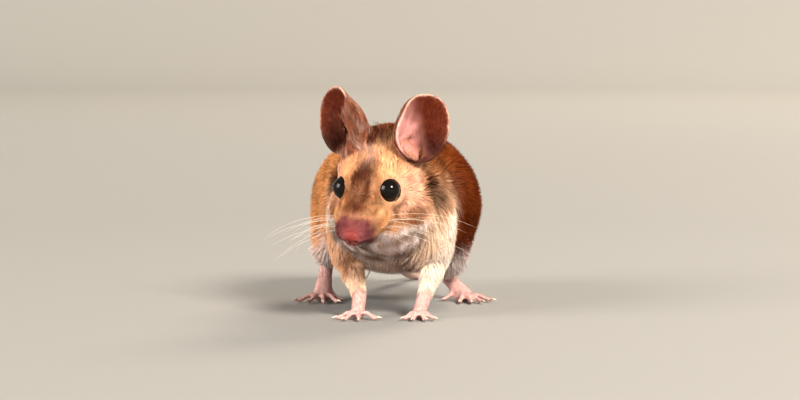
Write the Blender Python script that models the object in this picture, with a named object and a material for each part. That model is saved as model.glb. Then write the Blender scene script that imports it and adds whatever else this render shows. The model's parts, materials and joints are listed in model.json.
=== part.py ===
"""A live wood mouse, life size, standing on four feet with its head turned to its own right.

The mouse faces -Y, its left side is at +X and the floor is Z = 0. The furred body is lofted whole,
fused, then parted with thin cuts into head, neck, trunk and limbs. The ears, eyes, feet, tail and
long whiskers are modelled on their own and meet the body with the same thin gap.
All sizes and places are in millimetres, and MM turns them into metres where a mesh is made.
"""

import math

import bmesh
import bpy
import numpy as np
from mathutils import Matrix, Vector

MM = 0.001
GAP = 0.3  # between neighbouring solids
SIDES = 20  # points round a loft of the body

# Driving dimensions.
NOSE_TIP = Vector((-8.4, -8.0, 17.4))
HEAD_YAW, HEAD_PITCH, HEAD_ROLL = 20.0, 42.0, 3.0  # degrees: to its right, nose down, left side down
EYE_RADIUS = 2.45
EYE_PLACE = Vector((5.1, 13.4, 2.3))  # of the left eye, in the head: outward, back from the nose, up
EAR_LENGTH, EAR_WIDTH, EAR_DEPTH, EAR_THICKNESS = 14.6, 11.4, 4.0, 0.75
TAIL_RADIUS, TAIL_TIP_RADIUS = 1.75, 0.55
FUR_VOXEL, BARE_VOXEL = 0.5, 0.2  # grid on which the furred body and the bare feet are fused
BODY_FACES, FOOT_FACES = 1480, 300

# Half widths and heights of the furred body. A row is a centre x, y, z, a half width, and the
# heights above and below the centre.
TRUNK = (
    (0.0, -2.5, 17.5, 3.5, 3.5, 3.5),
    (0.0, 1.0, 18.0, 8.4, 8.0, 6.6),
    (0.1, 6.0, 19.0, 11.6, 11.0, 10.0),
    (0.3, 12.0, 20.5, 13.4, 15.0, 12.2),
    (0.7, 20.0, 21.5, 16.0, 18.4, 13.6),
    (1.1, 30.0, 22.0, 18.4, 20.0, 14.8),
    (1.2, 40.0, 21.0, 19.5, 19.6, 15.2),
    (1.3, 48.0, 19.0, 17.6, 17.6, 13.6),
    (1.3, 55.0, 16.5, 13.2, 12.8, 9.8),
    (1.3, 59.5, 14.3, 8.2, 7.8, 6.0),
    (1.3, 62.5, 12.6, 3.6, 3.4, 3.2),
)
# In the head's own frame: x outward to its left, y back from the nose tip, z up.
HEAD = (
    (0.0, 0.0, 0.0, 1.4, 1.3, 1.3),
    (0.0, 1.0, 0.0, 2.5, 2.2, 2.2),
    (0.0, 2.6, 0.0, 3.4, 3.0, 3.1),
    (0.0, 5.0, -0.1, 4.5, 3.9, 4.3),
    (0.0, 8.0, -0.2, 5.3, 4.9, 5.1),
    (0.0, 11.0, -0.2, 5.9, 5.9, 5.9),
    (0.0, 13.5, -0.2, 6.6, 6.7, 6.8),
    (0.0, 17.0, -0.2, 8.4, 7.7, 7.8),
    (0.0, 21.0, -0.3, 9.7, 8.4, 8.4),
    (0.0, 25.0, -0.5, 9.6, 8.2, 8.4),
    (0.0, 29.0, -0.9, 8.0, 6.8, 7.4),
)
NECK = (
    (-2.4, 7.0, 31.6, 8.6, 8.4, 9.0),
    (-1.2, 12.5, 29.5, 10.6, 10.2, 11.0),
    (0.2, 18.0, 27.5, 12.6, 12.4, 13.0),
    (0.8, 24.0, 25.5, 14.0, 14.4, 14.0),
)


def between(rows, count):
    """The rows' numbers at evenly spaced stations along a smooth curve through them."""
    table = np.array(rows, float)
    steps = np.linalg.norm(np.diff(table[:, :3], axis=0), axis=1)
    at = np.concatenate([[0.0], np.cumsum(steps)])
    slope = np.gradient(table, at, axis=0)
    new = np.linspace(0.0, at[-1], count)
    i = np.clip(np.searchsorted(at, new) - 1, 0, len(at) - 2)
    span = (at[i + 1] - at[i])[:, None]
    t = (new[:, None] - at[i][:, None]) / span
    return (
        table[i] * (2 * t**3 - 3 * t**2 + 1)
        + slope[i] * span * (t**3 - 2 * t**2 + t)
        + table[i + 1] * (3 * t**2 - 2 * t**3)
        + slope[i + 1] * span * (t**3 - t**2)
    )


def loft(bm, rows, rings=16, sides=SIDES, place=None):
    """Adds a closed body through rows of centre x, y, z, half width, and height above and below."""
    place = place or Matrix.Identity(4)
    table = between(rows, rings)
    centres = [Vector(row[:3]) for row in table]
    angle = bm.verts.layers.float.get("angle") or bm.verts.layers.float.new("angle")
    made = bmesh.ops.create_circle(bm, cap_ends=False, segments=sides, radius=1.0)["verts"]
    for v in made:
        v[angle] = math.atan2(v.co.y, v.co.x)
    edges = list({e for v in made for e in v.link_edges})
    everything = list(made)
    for k, row in enumerate(table):
        if k:
            grown = bmesh.ops.extrude_edge_only(bm, edges=edges)["geom"]
            made = [g for g in grown if isinstance(g, bmesh.types.BMVert)]
            edges = [g for g in grown if isinstance(g, bmesh.types.BMEdge)]
            everything += made
        ahead = centres[min(k + 1, rings - 1)] - centres[max(k - 1, 0)]
        ahead.normalize()
        across = (Vector((1, 0, 0)) - ahead * ahead.x).normalized()
        upward = across.cross(ahead)
        for v in made:
            rise = math.sin(v[angle])
            tall = row[4] if rise > 0 else row[5]
            v.co = centres[k] + across * math.cos(v[angle]) * row[3] + upward * rise * tall
    open_edges = [e for v in everything for e in v.link_edges if e.is_boundary]
    bmesh.ops.holes_fill(bm, edges=list(set(open_edges)))
    bmesh.ops.transform(bm, matrix=place, verts=everything)
    faces = list({f for v in everything for f in v.link_faces})
    bmesh.ops.recalc_face_normals(bm, faces=faces)


def ellipsoid(bm, centre, radii, turn=(0, 0, 0), place=None, rings=14):
    """Adds a ball stretched to three radii, turned by angles in degrees about x, y and z."""
    turned = Matrix.LocRotScale(Vector(centre), euler(turn), Vector(radii))
    bmesh.ops.create_uvsphere(
        bm, u_segments=rings + 4, v_segments=rings, radius=1.0,
        matrix=(place or Matrix.Identity(4)) @ turned,
    )


def euler(degrees):
    """A rotation from angles in degrees, turning about x, then y, then z."""
    x, y, z = (math.radians(a) for a in degrees)
    return (
        Matrix.Rotation(z, 3, "Z") @ Matrix.Rotation(y, 3, "Y") @ Matrix.Rotation(x, 3, "X")
    ).to_quaternion()


def tube(points, radii):
    """Rows for a loft of round section through points with these radii."""
    return [(*p, r, r, r) for p, r in zip(points, radii)]


FINISHES = {
    "russet_fur": ((0.33, 0.14, 0.05), 0.85),
    "pale_fur": ((0.62, 0.53, 0.45), 0.85),
    "pink_skin": ((0.75, 0.45, 0.40), 0.55),
    "ear_skin": ((0.40, 0.17, 0.12), 0.55),
    "dark_eye": ((0.010, 0.008, 0.008), 0.06),
    "whisker_hair": ((0.62, 0.52, 0.44), 0.40),
}


def finish(name):
    """A material of one colour and roughness for each kind of surface."""
    colour, roughness = FINISHES[name]
    made = bpy.data.materials.get(name) or bpy.data.materials.new(name)
    made.use_nodes = True
    shader = made.node_tree.nodes["Principled BSDF"]
    shader.inputs["Base Color"].default_value = (*colour, 1.0)
    shader.inputs["Roughness"].default_value = roughness
    shader.inputs["Metallic"].default_value = 0.0
    return made


def new_object(name, bm, material):
    """Turns a bmesh in millimetres into an object in metres."""
    bmesh.ops.transform(bm, matrix=Matrix.Scale(MM, 4), verts=bm.verts)
    mesh = bpy.data.meshes.new(name)
    bm.to_mesh(mesh)
    bm.free()
    return linked(name, mesh, material)


def linked(name, mesh, material):
    """An object of this mesh, in the stance that every piece shares."""
    made = bpy.data.objects.new(name, mesh)
    bpy.context.scene.collection.objects.link(made)
    mesh.materials.clear()
    mesh.materials.append(finish(material))
    made.parent = STANCE
    return made


def helper(obj):
    """Keeps a cutter or a guide out of the finished model."""
    obj.hide_render = True
    obj.display_type = "WIRE"
    return obj


def evaluated(obj):
    """The object's mesh with its modifiers, as a mesh of its own."""
    bpy.context.view_layer.update()
    graph = bpy.context.evaluated_depsgraph_get()
    return bpy.data.meshes.new_from_object(obj.evaluated_get(graph))


def fused(name, bm, material, voxel, smoothing, faces):
    """One smooth skin round overlapping lofts, thinned to a number of triangles."""
    raw = helper(new_object(name + ".raw", bm, material))
    raw.modifiers.new("fuse", "REMESH").mode = "VOXEL"
    raw.modifiers["fuse"].voxel_size = voxel * MM
    ease = raw.modifiers.new("ease", "SMOOTH")
    ease.factor, ease.iterations = 0.5, smoothing
    dense = evaluated(raw)
    dense.calc_loop_triangles()
    thin = helper(linked(name + ".thin", dense, material))
    fewer = thin.modifiers.new("thin", "DECIMATE")
    fewer.ratio = min(1.0, faces / len(dense.loop_triangles))
    fewer.use_collapse_triangulate = True
    return evaluated(thin)


def boolean(obj, operation, other):
    cut = obj.modifiers.new(operation.lower(), "BOOLEAN")
    cut.operation, cut.object, cut.solver = operation, other, "EXACT"


def turned_box(low, high, place):
    """A block between two corners of a frame of its own."""
    low, high = Vector(low), Vector(high)
    bm = bmesh.new()
    size = Matrix.Diagonal((*(high - low), 1.0))
    bmesh.ops.create_cube(bm, size=1.0, matrix=place @ Matrix.Translation((low + high) / 2) @ size)
    return bm


HEAD_FRAME = Matrix.LocRotScale(
    NOSE_TIP, euler((HEAD_PITCH, HEAD_ROLL, -HEAD_YAW)), Vector((1, 1, 1))
)


# The limbs. Each side has its own stance, so every foot has its own place and heading.
LIMBS = {
    "left": {
        "side": 1,
        "wrist": Vector((7.6, 5.2, 5.2)),
        "elbow": Vector((9.8, 12.0, 12.5)),
        "shoulder": Vector((9.0, 12.0, 21.0)),
        "forefoot": Vector((6.2, 3.0, 0.0)),
        "forefoot_heading": 2.0,
        "fore_digits": (-42.0, -17.0, 11.0, 36.0),
        "heel": Vector((11.8, 43.5, 6.2)),
        "knee": Vector((13.8, 31.5, 12.0)),
        "hip": Vector((9.6, 47.0, 20.0)),
        "hindfoot": Vector((16.8, 36.4, 0.0)),
        "hindfoot_heading": 20.0,
        "hind_digits": (-30.0, -9.0, 10.0, 42.0),
        "inner_digit": -74.0,
    },
    "right": {
        "side": -1,
        "wrist": Vector((-6.8, 5.0, 5.4)),
        "elbow": Vector((-9.4, 12.0, 12.5)),
        "shoulder": Vector((-9.0, 12.0, 21.0)),
        "forefoot": Vector((-7.0, 2.8, 0.0)),
        "forefoot_heading": 0.0,
        "fore_digits": (-60.0, -30.0, 3.0, 52.0),
        "heel": Vector((-14.6, 42.0, 9.6)),
        "knee": Vector((-13.2, 31.0, 13.6)),
        "hip": Vector((-7.4, 47.0, 20.0)),
        "hindfoot": Vector((-15.6, 36.0, 0.0)),
        "hindfoot_heading": -6.0,
        "hind_digits": (-50.0, -18.0, 10.0, 38.0),
        "inner_digit": 66.0,
    },
}
WRIST_RADIUS, ANKLE_RADIUS = 1.75, 1.85
HAUNCH = Vector((7.4, 12.0, 10.4))  # radii of the furred thigh
SHOULDER = Vector((5.2, 7.4, 9.6))


def furred_body():
    """Trunk, neck, head, haunches and the furred upper limbs, fused into one skin."""
    bm = bmesh.new()
    loft(bm, TRUNK, rings=26, sides=28)
    loft(bm, NECK, rings=8, sides=24)
    loft(bm, HEAD, rings=26, sides=24, place=HEAD_FRAME)
    for side in (1, -1):
        ellipsoid(bm, (side * 2.3, 4.6, -0.9), (2.7, 3.0, 2.5), place=HEAD_FRAME)  # whisker pad
        ellipsoid(bm, (side * 5.6, 18.0, -3.2), (4.2, 6.2, 4.6), place=HEAD_FRAME)  # cheek
    ellipsoid(bm, (0, 7.4, -4.0), (2.9, 4.4, 2.2), turn=(12, 0, 0), place=HEAD_FRAME)  # chin
    loft(bm, tube([(1.3, 57.0, 13.6), (1.35, 62.0, 12.2), (1.4, 66.0, 9.9)], [5.0, 3.0, 2.3]), rings=8)
    for limb in LIMBS.values():
        side = limb["side"]
        hip = limb["hip"]
        ellipsoid(bm, (hip + limb["knee"]) / 2 + Vector((side * -0.6, 1.0, 1.4)), HAUNCH,
                  turn=(-24, 0, side * -10))
        loft(bm, tube([hip, limb["knee"], limb["knee"] + Vector((0, 0.6, -1.6))], [7.0, 4.4, 3.4]))
        shank = [limb["knee"], (limb["knee"] + limb["heel"]) / 2, limb["heel"]]
        loft(bm, tube(shank, [4.4, 3.4, ANKLE_RADIUS]))
        instep = limb["heel"].lerp(limb["hindfoot"] + Vector((0, 0, 1.6)), 0.45)
        loft(bm, tube([limb["heel"], instep], [ANKLE_RADIUS, 1.6]), rings=6)
        ellipsoid(bm, limb["heel"], (1.9, 1.9, 1.9))
        ellipsoid(bm, limb["shoulder"], SHOULDER, turn=(-14, 0, 0))
        forearm = [limb["shoulder"], limb["elbow"], limb["wrist"].lerp(limb["elbow"], 0.45), limb["wrist"]]
        loft(bm, tube(forearm, [5.4, 4.1, 2.6, WRIST_RADIUS]), rings=12)
        down = limb["wrist"].lerp(limb["forefoot"] + Vector((0, 0.8, 1.4)), 0.5)
        loft(bm, tube([limb["wrist"], down], [WRIST_RADIUS, WRIST_RADIUS]), rings=4)
    return fused("body", bm, "russet_fur", FUR_VOXEL, 10, BODY_FACES)


def digit(bm, root, heading, length, radius):
    """One toe: it rises to a knuckle, comes down to its pad, and ends in a short claw."""
    ahead = Vector((math.sin(math.radians(heading)), -math.cos(math.radians(heading)), 0))
    knuckle = root + ahead * length * 0.42 + Vector((0, 0, 0.25))
    knuckle.z = max(knuckle.z, 1.5 * radius + 0.5)
    joint = root + ahead * length * 0.78
    joint.z = radius * 1.15
    pad = root + ahead * length
    pad.z = radius * 0.86
    loft(bm, tube([root, knuckle, joint, pad], [radius * 1.1, radius * 0.95, radius * 0.85, radius]),
         rings=9, sides=12)
    ellipsoid(bm, pad, (radius * 1.08,) * 3, rings=8)
    claw = [pad + Vector((0, 0, 0.25)), pad + ahead * (radius + 0.35) + Vector((0, 0, 0.12)),
            pad + ahead * (radius + 0.95) + Vector((0, 0, -0.2))]
    loft(bm, tube(claw, [0.36, 0.33, 0.25]), rings=5, sides=8)


def forefoot_body(limb):
    """Palm, wrist and four spread digits."""
    bm = bmesh.new()
    palm = limb["forefoot"] + Vector((0, 0, 1.1))
    heading = limb["forefoot_heading"]
    ellipsoid(bm, palm, (1.75, 2.0, 1.3), turn=(0, 0, heading))
    wrist = limb["wrist"].lerp(limb["elbow"], 0.12)
    loft(bm, tube([palm + Vector((0, 0.5, 0.2)), limb["wrist"], wrist],
                  [1.5, WRIST_RADIUS, WRIST_RADIUS]), rings=8, sides=16)
    ellipsoid(bm, palm + Vector((0, 1.7, -0.2)), (1.3, 0.9, 1.1))  # heel pads of the palm
    for spread, length in zip(limb["fore_digits"], (3.3, 3.9, 4.0, 3.4)):
        turn = math.radians(heading + spread)
        root = palm + Vector((math.sin(turn) * 1.25, -math.cos(turn) * 1.1, 0))
        digit(bm, root, heading + spread, length, 0.66)
    return bm


def hindfoot_body(limb):
    """Heel, long instep and five digits, the innermost set far back."""
    bm = bmesh.new()
    ball = limb["hindfoot"] + Vector((0, 0, 1.2))
    heading = limb["hindfoot_heading"]
    heel = limb["heel"]
    ankle = heel.lerp(limb["knee"], 0.1)
    instep = heel.lerp(ball, 0.5)
    sole = [(*ankle, ANKLE_RADIUS, ANKLE_RADIUS, ANKLE_RADIUS), (*heel, 1.8, 1.8, 1.8),
            (*instep, 1.75, 1.35, 1.35), (*ball, 2.5, 1.3, 1.3)]
    loft(bm, sole, rings=12, sides=16)
    ellipsoid(bm, heel, (1.8, 1.8, 1.8), rings=10)
    ellipsoid(bm, ball + Vector((0, 0, -0.15)), (2.6, 1.7, 1.3), turn=(0, 0, heading))
    for spread, length in zip(limb["hind_digits"], (4.3, 5.0, 4.9, 4.2)):
        turn = math.radians(heading + spread)
        root = ball + Vector((math.sin(turn) * 2.0, -math.cos(turn) * 1.2, 0))
        digit(bm, root, heading + spread, length, 0.7)
    turn = math.radians(heading + limb["inner_digit"])
    root = heel.lerp(ball, 0.82) + Vector((math.sin(turn) * 1.3, 0, 0))
    root.z = min(root.z, 1.4)
    digit(bm, root, heading + limb["inner_digit"], 3.2, 0.62)
    return bm


def floor_cutter():
    """A block whose top is the floor. It makes the small flats that the mouse stands on."""
    bm = turned_box((-60, -60, -20), (60, 180, 0), Matrix.Identity(4))
    return helper(new_object("floor.cutter", bm, "pink_skin"))


def seam_frame(point, along):
    """A frame at a cut, whose z axis runs along the limb that the cut crosses."""
    return Matrix.Translation(point) @ Vector(along).to_track_quat("Z", "X").to_matrix().to_4x4()


def block(name, low, high, place):
    return helper(new_object(name + ".cell", turned_box(low, high, place), "pale_fur"))


def oval(name, centre, radii, turn=(0, 0, 0), place=None, rings=7):
    bm = bmesh.new()
    ellipsoid(bm, centre, radii, turn=turn, place=place, rings=rings)
    return helper(new_object(name + ".cell", bm, "pale_fur"))


def part_from(name, body, cell, material, without=()):
    """The share of the body that lies in a cell and outside its neighbours' cells."""
    made = linked(name, body.copy(), material)
    if cell is not None:
        boolean(made, "INTERSECT", cell)
    for other in without:
        boolean(made, "DIFFERENCE", other)
    return made


def limb_cells(name, limb, g):
    """The cells that part one side's limbs from the body, each grown outward by a margin."""
    side = limb["side"]
    forearm = seam_frame(limb["wrist"], limb["elbow"] - limb["wrist"])
    shank = seam_frame(limb["heel"].lerp(limb["knee"], 0.4), limb["knee"] - limb["heel"])
    thigh_centre = (limb["hip"] + limb["knee"]) / 2 + Vector((side * 2.2, 0.4, 1.0))
    upper = (limb["shoulder"] + limb["elbow"]) / 2 + Vector((side * 2.0, -0.6, 1.4))
    return {
        "forearm": oval(f"forearm_{name}.{g}", (0, 0, 0), (4.6 + g, 4.6 + g, 7.6 + g), place=forearm),
        "shank": oval(f"shank_{name}.{g}", (0, 0, 0), (3.9 + g, 3.9 + g, 9.4 + g), place=shank),
        "thigh": oval(f"thigh_{name}.{g}", thigh_centre, (8.0 + g, 14.2 + g, 12.6 + g),
                      turn=(-26, 0, side * -8)),
        "upper_arm": oval(f"upper_arm_{name}.{g}", upper, (5.4 + g, 7.2 + g, 9.6 + g),
                          turn=(-16, 0, 0)),
    }


def wrist_cut(limb):
    return seam_frame(limb["wrist"], limb["elbow"] - limb["wrist"])


def ankle_cut(limb):
    """Just above the heel, tipped forward a little, so that it passes clear over the toes."""
    return seam_frame(limb["heel"] + Vector((0, 0, 1.3)), (0, -0.35, 1.0))


def head_cells():
    """The head's, neck's, jaw's and nose's cells, and the room that each leaves its neighbours."""
    shapes = {
        "head": ((0, 10.0, 1.0), (18.0, 15.2, 11.5)),
        "neck": ((0, 25.0, -0.5), (18.0, 9.0, 13.5)),
        "lower_jaw": ((0, 9.2, -6.0), (4.6, 7.4, 3.1)),
        "nose": ((0, 0.1, 0.5), (2.5, 1.9, 1.9)),
    }
    cells, rooms = {}, {}
    for name, (centre, radii) in shapes.items():
        turn = (10, 0, 0) if name == "lower_jaw" else (0, 0, 0)
        rings = 10 if name in ("head", "neck") else 7
        wider = [r + GAP for r in radii]
        cells[name] = oval(name, centre, radii, turn, HEAD_FRAME, rings)
        rooms[name] = oval(name + "_room", centre, wider, turn, HEAD_FRAME, rings)
    return cells, rooms


def fleshed_parts(body):
    """Parts the fused body into named nodes."""
    cells, rooms = head_cells()
    sockets = eye_balls(EYE_RADIUS + GAP, "socket")
    tail_root = seam_frame((1.35, 61.5, 12.4), (0.05, 4.0, -2.3))
    tail_room = block("tail_room", (-9, -9, 0), (9, 9, 12), tail_root)
    part_from("nose", body, cells["nose"], "pink_skin")
    part_from("lower_jaw", body, cells["lower_jaw"], "pale_fur", [rooms["nose"]])
    part_from("head", body, cells["head"], "russet_fur", [rooms["lower_jaw"], rooms["nose"], *sockets])
    before_neck = [rooms["head"], rooms["lower_jaw"]]
    before_trunk = [*before_neck, rooms["neck"], tail_room]
    for name, limb in LIMBS.items():
        mine, room = limb_cells(name, limb, 0.0), limb_cells(name, limb, GAP)
        wrist, ankle = foot_rooms(name, limb)
        upper = [room["forearm"], rooms["head"], rooms["neck"]]
        part_from(f"forearm_{name}", body, mine["forearm"], "pale_fur", [wrist, rooms["head"]])
        part_from(f"upper_arm_{name}", body, mine["upper_arm"], "russet_fur", upper)
        part_from(f"shank_{name}", body, mine["shank"], "pale_fur", [ankle])
        part_from(f"thigh_{name}", body, mine["thigh"], "russet_fur", [room["shank"], ankle])
        before_trunk += [*room.values(), wrist, ankle]
    part_from("neck", body, cells["neck"], "russet_fur", before_neck)
    part_from("trunk", body, None, "russet_fur", before_trunk)


def foot_rooms(name, limb):
    """What the wrist and the ankle keep clear for the bare feet."""
    return (
        block(f"forefoot_room_{name}", (-5, -6, -12), (5, 6, GAP), wrist_cut(limb)),
        block(f"hindfoot_room_{name}", (-6, -14, -12), (6, 8, GAP), ankle_cut(limb)),
    )


def eye_balls(radius, label):
    """Both eyes, or the sockets that hold them."""
    balls = []
    for name, side in (("left", 1), ("right", -1)):
        bm = bmesh.new()
        place = Vector((side * EYE_PLACE.x, EYE_PLACE.y, EYE_PLACE.z))
        ellipsoid(bm, place, (radius,) * 3, place=HEAD_FRAME, rings=9)
        balls.append(new_object(f"{label}_{name}", bm, "dark_eye"))
        if label == "socket":
            helper(balls[-1])
    return balls


# Ears. The base sits at the side and back of the skull, in the head's frame, and the pinna stands
# upright in the world, turned outward from the line of the head.
EAR_BASE = {"left": Vector((9.9, 21.0, 3.7)), "right": Vector((-6.9, 21.2, 4.2))}
EAR_TURN = {"left": 24.0, "right": -50.0}  # which way the cup opens, from -Y towards +X
EAR_LEAN = {"left": 9.0, "right": -22.0}  # sideways
EAR_TILT = 8.0  # backwards
EAR_FLARE = {"left": 0.5, "right": 1.5}  # how far the inner edge spreads towards the crown
EAR_SHOULDER = 0.7  # below 1, it fills out the ear's outer corner at the top


def ear_body(side, flare):
    """A cup: rings spread from the ear canal, low in the cup, out to the rim."""
    canal = Vector((-0.16 * EAR_WIDTH * side, 0.14 * EAR_LENGTH))
    bm = bmesh.new()
    angle = bm.verts.layers.float.new("angle")
    ring = bmesh.ops.create_circle(bm, cap_ends=True, segments=20, radius=1.0)["verts"]
    for v in ring:
        v[angle] = math.atan2(v.co.y, v.co.x)
    edges = list({e for v in ring for e in v.link_edges if e.is_boundary})
    rings = 5
    for k in range(rings):
        share = 0.12 + 0.88 * k / (rings - 1)
        if k:
            grown = bmesh.ops.extrude_edge_only(bm, edges=edges)["geom"]
            ring = [g for g in grown if isinstance(g, bmesh.types.BMVert)]
            edges = [g for g in grown if isinstance(g, bmesh.types.BMEdge)]
        for v in ring:
            c, s = math.cos(v[angle]), math.sin(v[angle])
            inner_edge = max(0.0, -c * side) * max(0.0, 0.3 - s)
            half = EAR_WIDTH / 2 * (1.0 + 0.10 * s + flare * inner_edge)
            outer_top = c * side > 0.0 and s > 0.0
            aside = math.copysign(abs(c) ** (EAR_SHOULDER if outer_top else 1.0), c)
            rim = Vector((half * aside, EAR_LENGTH * (0.5 + 0.5 * s)))
            flat = canal.lerp(rim, share)
            curl = 2.0 * c * c * (0.62 - 0.38 * s) * share**3
            v.co = (flat.x, EAR_DEPTH * (1 - share**1.8) - curl, flat.y)
    bmesh.ops.recalc_face_normals(bm, faces=bm.faces)
    return bm


def swollen_copy(body):
    """The furred body grown by the gap, to cut back what meets it."""
    made = helper(linked("body_swollen", body.copy(), "russet_fur"))
    swell = made.modifiers.new("swell", "DISPLACE")
    swell.strength, swell.mid_level = GAP * MM, 0.0
    return made


def ears(swollen):
    """Thin cups that meet the head with a gap."""
    for name, side in (("left", 1), ("right", -1)):
        base = HEAD_FRAME @ EAR_BASE[name]
        place = Matrix.LocRotScale(
            base, euler((-EAR_TILT, EAR_LEAN[name], EAR_TURN[name])), Vector((1, 1, 1))
        )
        bm = ear_body(side, EAR_FLARE[name])
        bmesh.ops.transform(bm, matrix=place, verts=bm.verts)
        ear = new_object(f"ear_{name}", bm, "ear_skin")
        wall = ear.modifiers.new("wall", "SOLIDIFY")
        wall.thickness, wall.offset = EAR_THICKNESS * MM, 0.0
        boolean(ear, "DIFFERENCE", swollen)


# The longest whiskers. A row is a place in the muzzle, back from the nose tip and up, then degrees
# back and up at the root, over those of its side, the length, and how far the tip sags.
WHISKERS = (
    (4.6, -0.2, -10.0, 3.0, 17.0, 5.5),
    (5.8, 0.3, -2.0, 5.0, 21.0, 7.0),
    (7.2, 0.2, 7.0, 6.0, 24.0, 8.5),
    (5.4, -1.5, -5.0, -8.0, 18.0, 5.5),
    (6.8, -1.6, 4.0, -7.0, 21.0, 7.0),
)
WHISKER_SWEEP = {"left": 8.0, "right": 30.0}  # degrees from straight out towards +Y
WHISKER_RISE = {"left": 8.0, "right": -1.0}  # degrees above level
WHISKER_INSET = 3.0  # of the root, outward from the middle of the muzzle
WHISKER_ROOT_RADIUS, WHISKER_TIP_RADIUS = 0.30, 0.25
WHISKER_LENGTHS = 5  # straight lengths in one whisker


def whiskers(swollen):
    """The long whiskers of both sides, thicker than life so that they are sound solids."""
    for name, side in (("left", 1), ("right", -1)):
        for number, (back, up, turn, rise, length, sag) in enumerate(WHISKERS, 1):
            root = HEAD_FRAME @ Vector((side * WHISKER_INSET, back, up))
            sweep = math.radians(WHISKER_SWEEP[name] + turn)
            rise = math.radians(WHISKER_RISE[name] + rise)
            ahead = Vector((side * math.cos(sweep), math.sin(sweep), math.tan(rise))).normalized()
            shares = [k / WHISKER_LENGTHS for k in range(WHISKER_LENGTHS + 1)]
            points = [root + ahead * length * t - Vector((0, 0, sag * t * t)) for t in shares]
            thinner = WHISKER_ROOT_RADIUS - WHISKER_TIP_RADIUS
            radii = [WHISKER_ROOT_RADIUS - thinner * t for t in shares]
            bm = bmesh.new()
            loft(bm, tube(points, radii), rings=len(points), sides=4)
            made = new_object(f"whisker_{name}_{number}", bm, "whisker_hair")
            boolean(made, "DIFFERENCE", swollen)


TAIL = (
    (1.35, 61.5, 12.4), (1.5, 66.0, 9.6), (2.4, 72.0, 5.2), (4.6, 79.0, 2.3), (8.6, 89.0, 1.45),
    (10.2, 100.0, 1.2), (7.6, 112.0, 1.0), (1.6, 123.0, 0.82), (-5.0, 132.0, 0.62), (-9.0, 137.5, 0.5),
)


def tail(floor):
    """Three lengths of one tapering tail, which comes down behind the rump and lies on the floor."""
    share = np.linspace(0, 1, len(TAIL))[:, None]
    radius = TAIL_RADIUS * (1 - share) ** 0.8 + TAIL_TIP_RADIUS
    line = between(np.hstack([TAIL, radius]), 37)
    lying = line[:, 1] > 84
    line[lying, 2] = line[lying, 3] * 0.9
    for name, first, last in (("tail_base", 0, 12), ("tail_middle", 12, 24), ("tail_tip", 24, 36)):
        rows = [(x, y, z, r, r, r) for x, y, z, r in line[first:last + 1]]
        start, ahead = Vector(rows[0][:3]), Vector(rows[1][:3]) - Vector(rows[0][:3])
        rows[0] = (*(start + ahead.normalized() * GAP), *rows[0][3:])
        bm = bmesh.new()
        loft(bm, rows, rings=len(rows), sides=8)
        made = new_object(name, bm, "pink_skin")
        boolean(made, "DIFFERENCE", floor)


def feet(floor):
    """Bare feet, fused on a finer grid than the fur and cut flat where they meet the floor."""
    for name, limb in LIMBS.items():
        for label, bm, cut in (
            ("forefoot", forefoot_body(limb), wrist_cut(limb)),
            ("hindfoot", hindfoot_body(limb), ankle_cut(limb)),
        ):
            mesh = fused(f"{label}_{name}", bm, "pink_skin", BARE_VOXEL, 4, FOOT_FACES)
            made = linked(f"{label}_{name}", mesh, "pink_skin")
            above = block(f"{label}_top_{name}", (-9, -14, 0), (9, 14, 12), cut)
            boolean(made, "DIFFERENCE", above)
            boolean(made, "DIFFERENCE", floor)


def centre_stance():
    """Moves the whole mouse so that the middle of its bounding box is over the origin."""
    bpy.context.view_layer.update()
    graph = bpy.context.evaluated_depsgraph_get()
    shown = [o for o in bpy.context.scene.objects if o.type == "MESH" and not o.hide_render]
    corners = np.array([
        o.matrix_world @ Vector(c) for o in shown for c in o.evaluated_get(graph).bound_box
    ])
    middle = (corners.min(axis=0) + corners.max(axis=0)) / 2
    STANCE.location = (-middle[0], -middle[1], 0.0)


for old in list(bpy.data.objects):
    bpy.data.objects.remove(old)
STANCE = bpy.data.objects.new("stance", None)
bpy.context.scene.collection.objects.link(STANCE)

BODY = furred_body()
FLOOR = floor_cutter()
fleshed_parts(BODY)
for eye in eye_balls(EYE_RADIUS, "eye"):
    eye.data.shade_smooth()
SWOLLEN_BODY = swollen_copy(BODY)
ears(SWOLLEN_BODY)
whiskers(SWOLLEN_BODY)
feet(FLOOR)
tail(FLOOR)
centre_stance()
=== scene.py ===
"""A life-size wood mouse, standing with its head turned to its own right.

One skin stands for all the flesh, and a coat of small solid tufts lies on it from the muzzle to
the rump. Eyes, claws and whiskers are pieces of their own. The body is worked out in millimetres
and turned into metres where a mesh is made. The mouse faces -Y and its left side is at +X.
"""

import json
import math

import bmesh
import bpy
import numpy as np
from mathutils import Matrix, Vector
from mathutils.bvhtree import BVHTree
from mathutils.kdtree import KDTree


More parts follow.
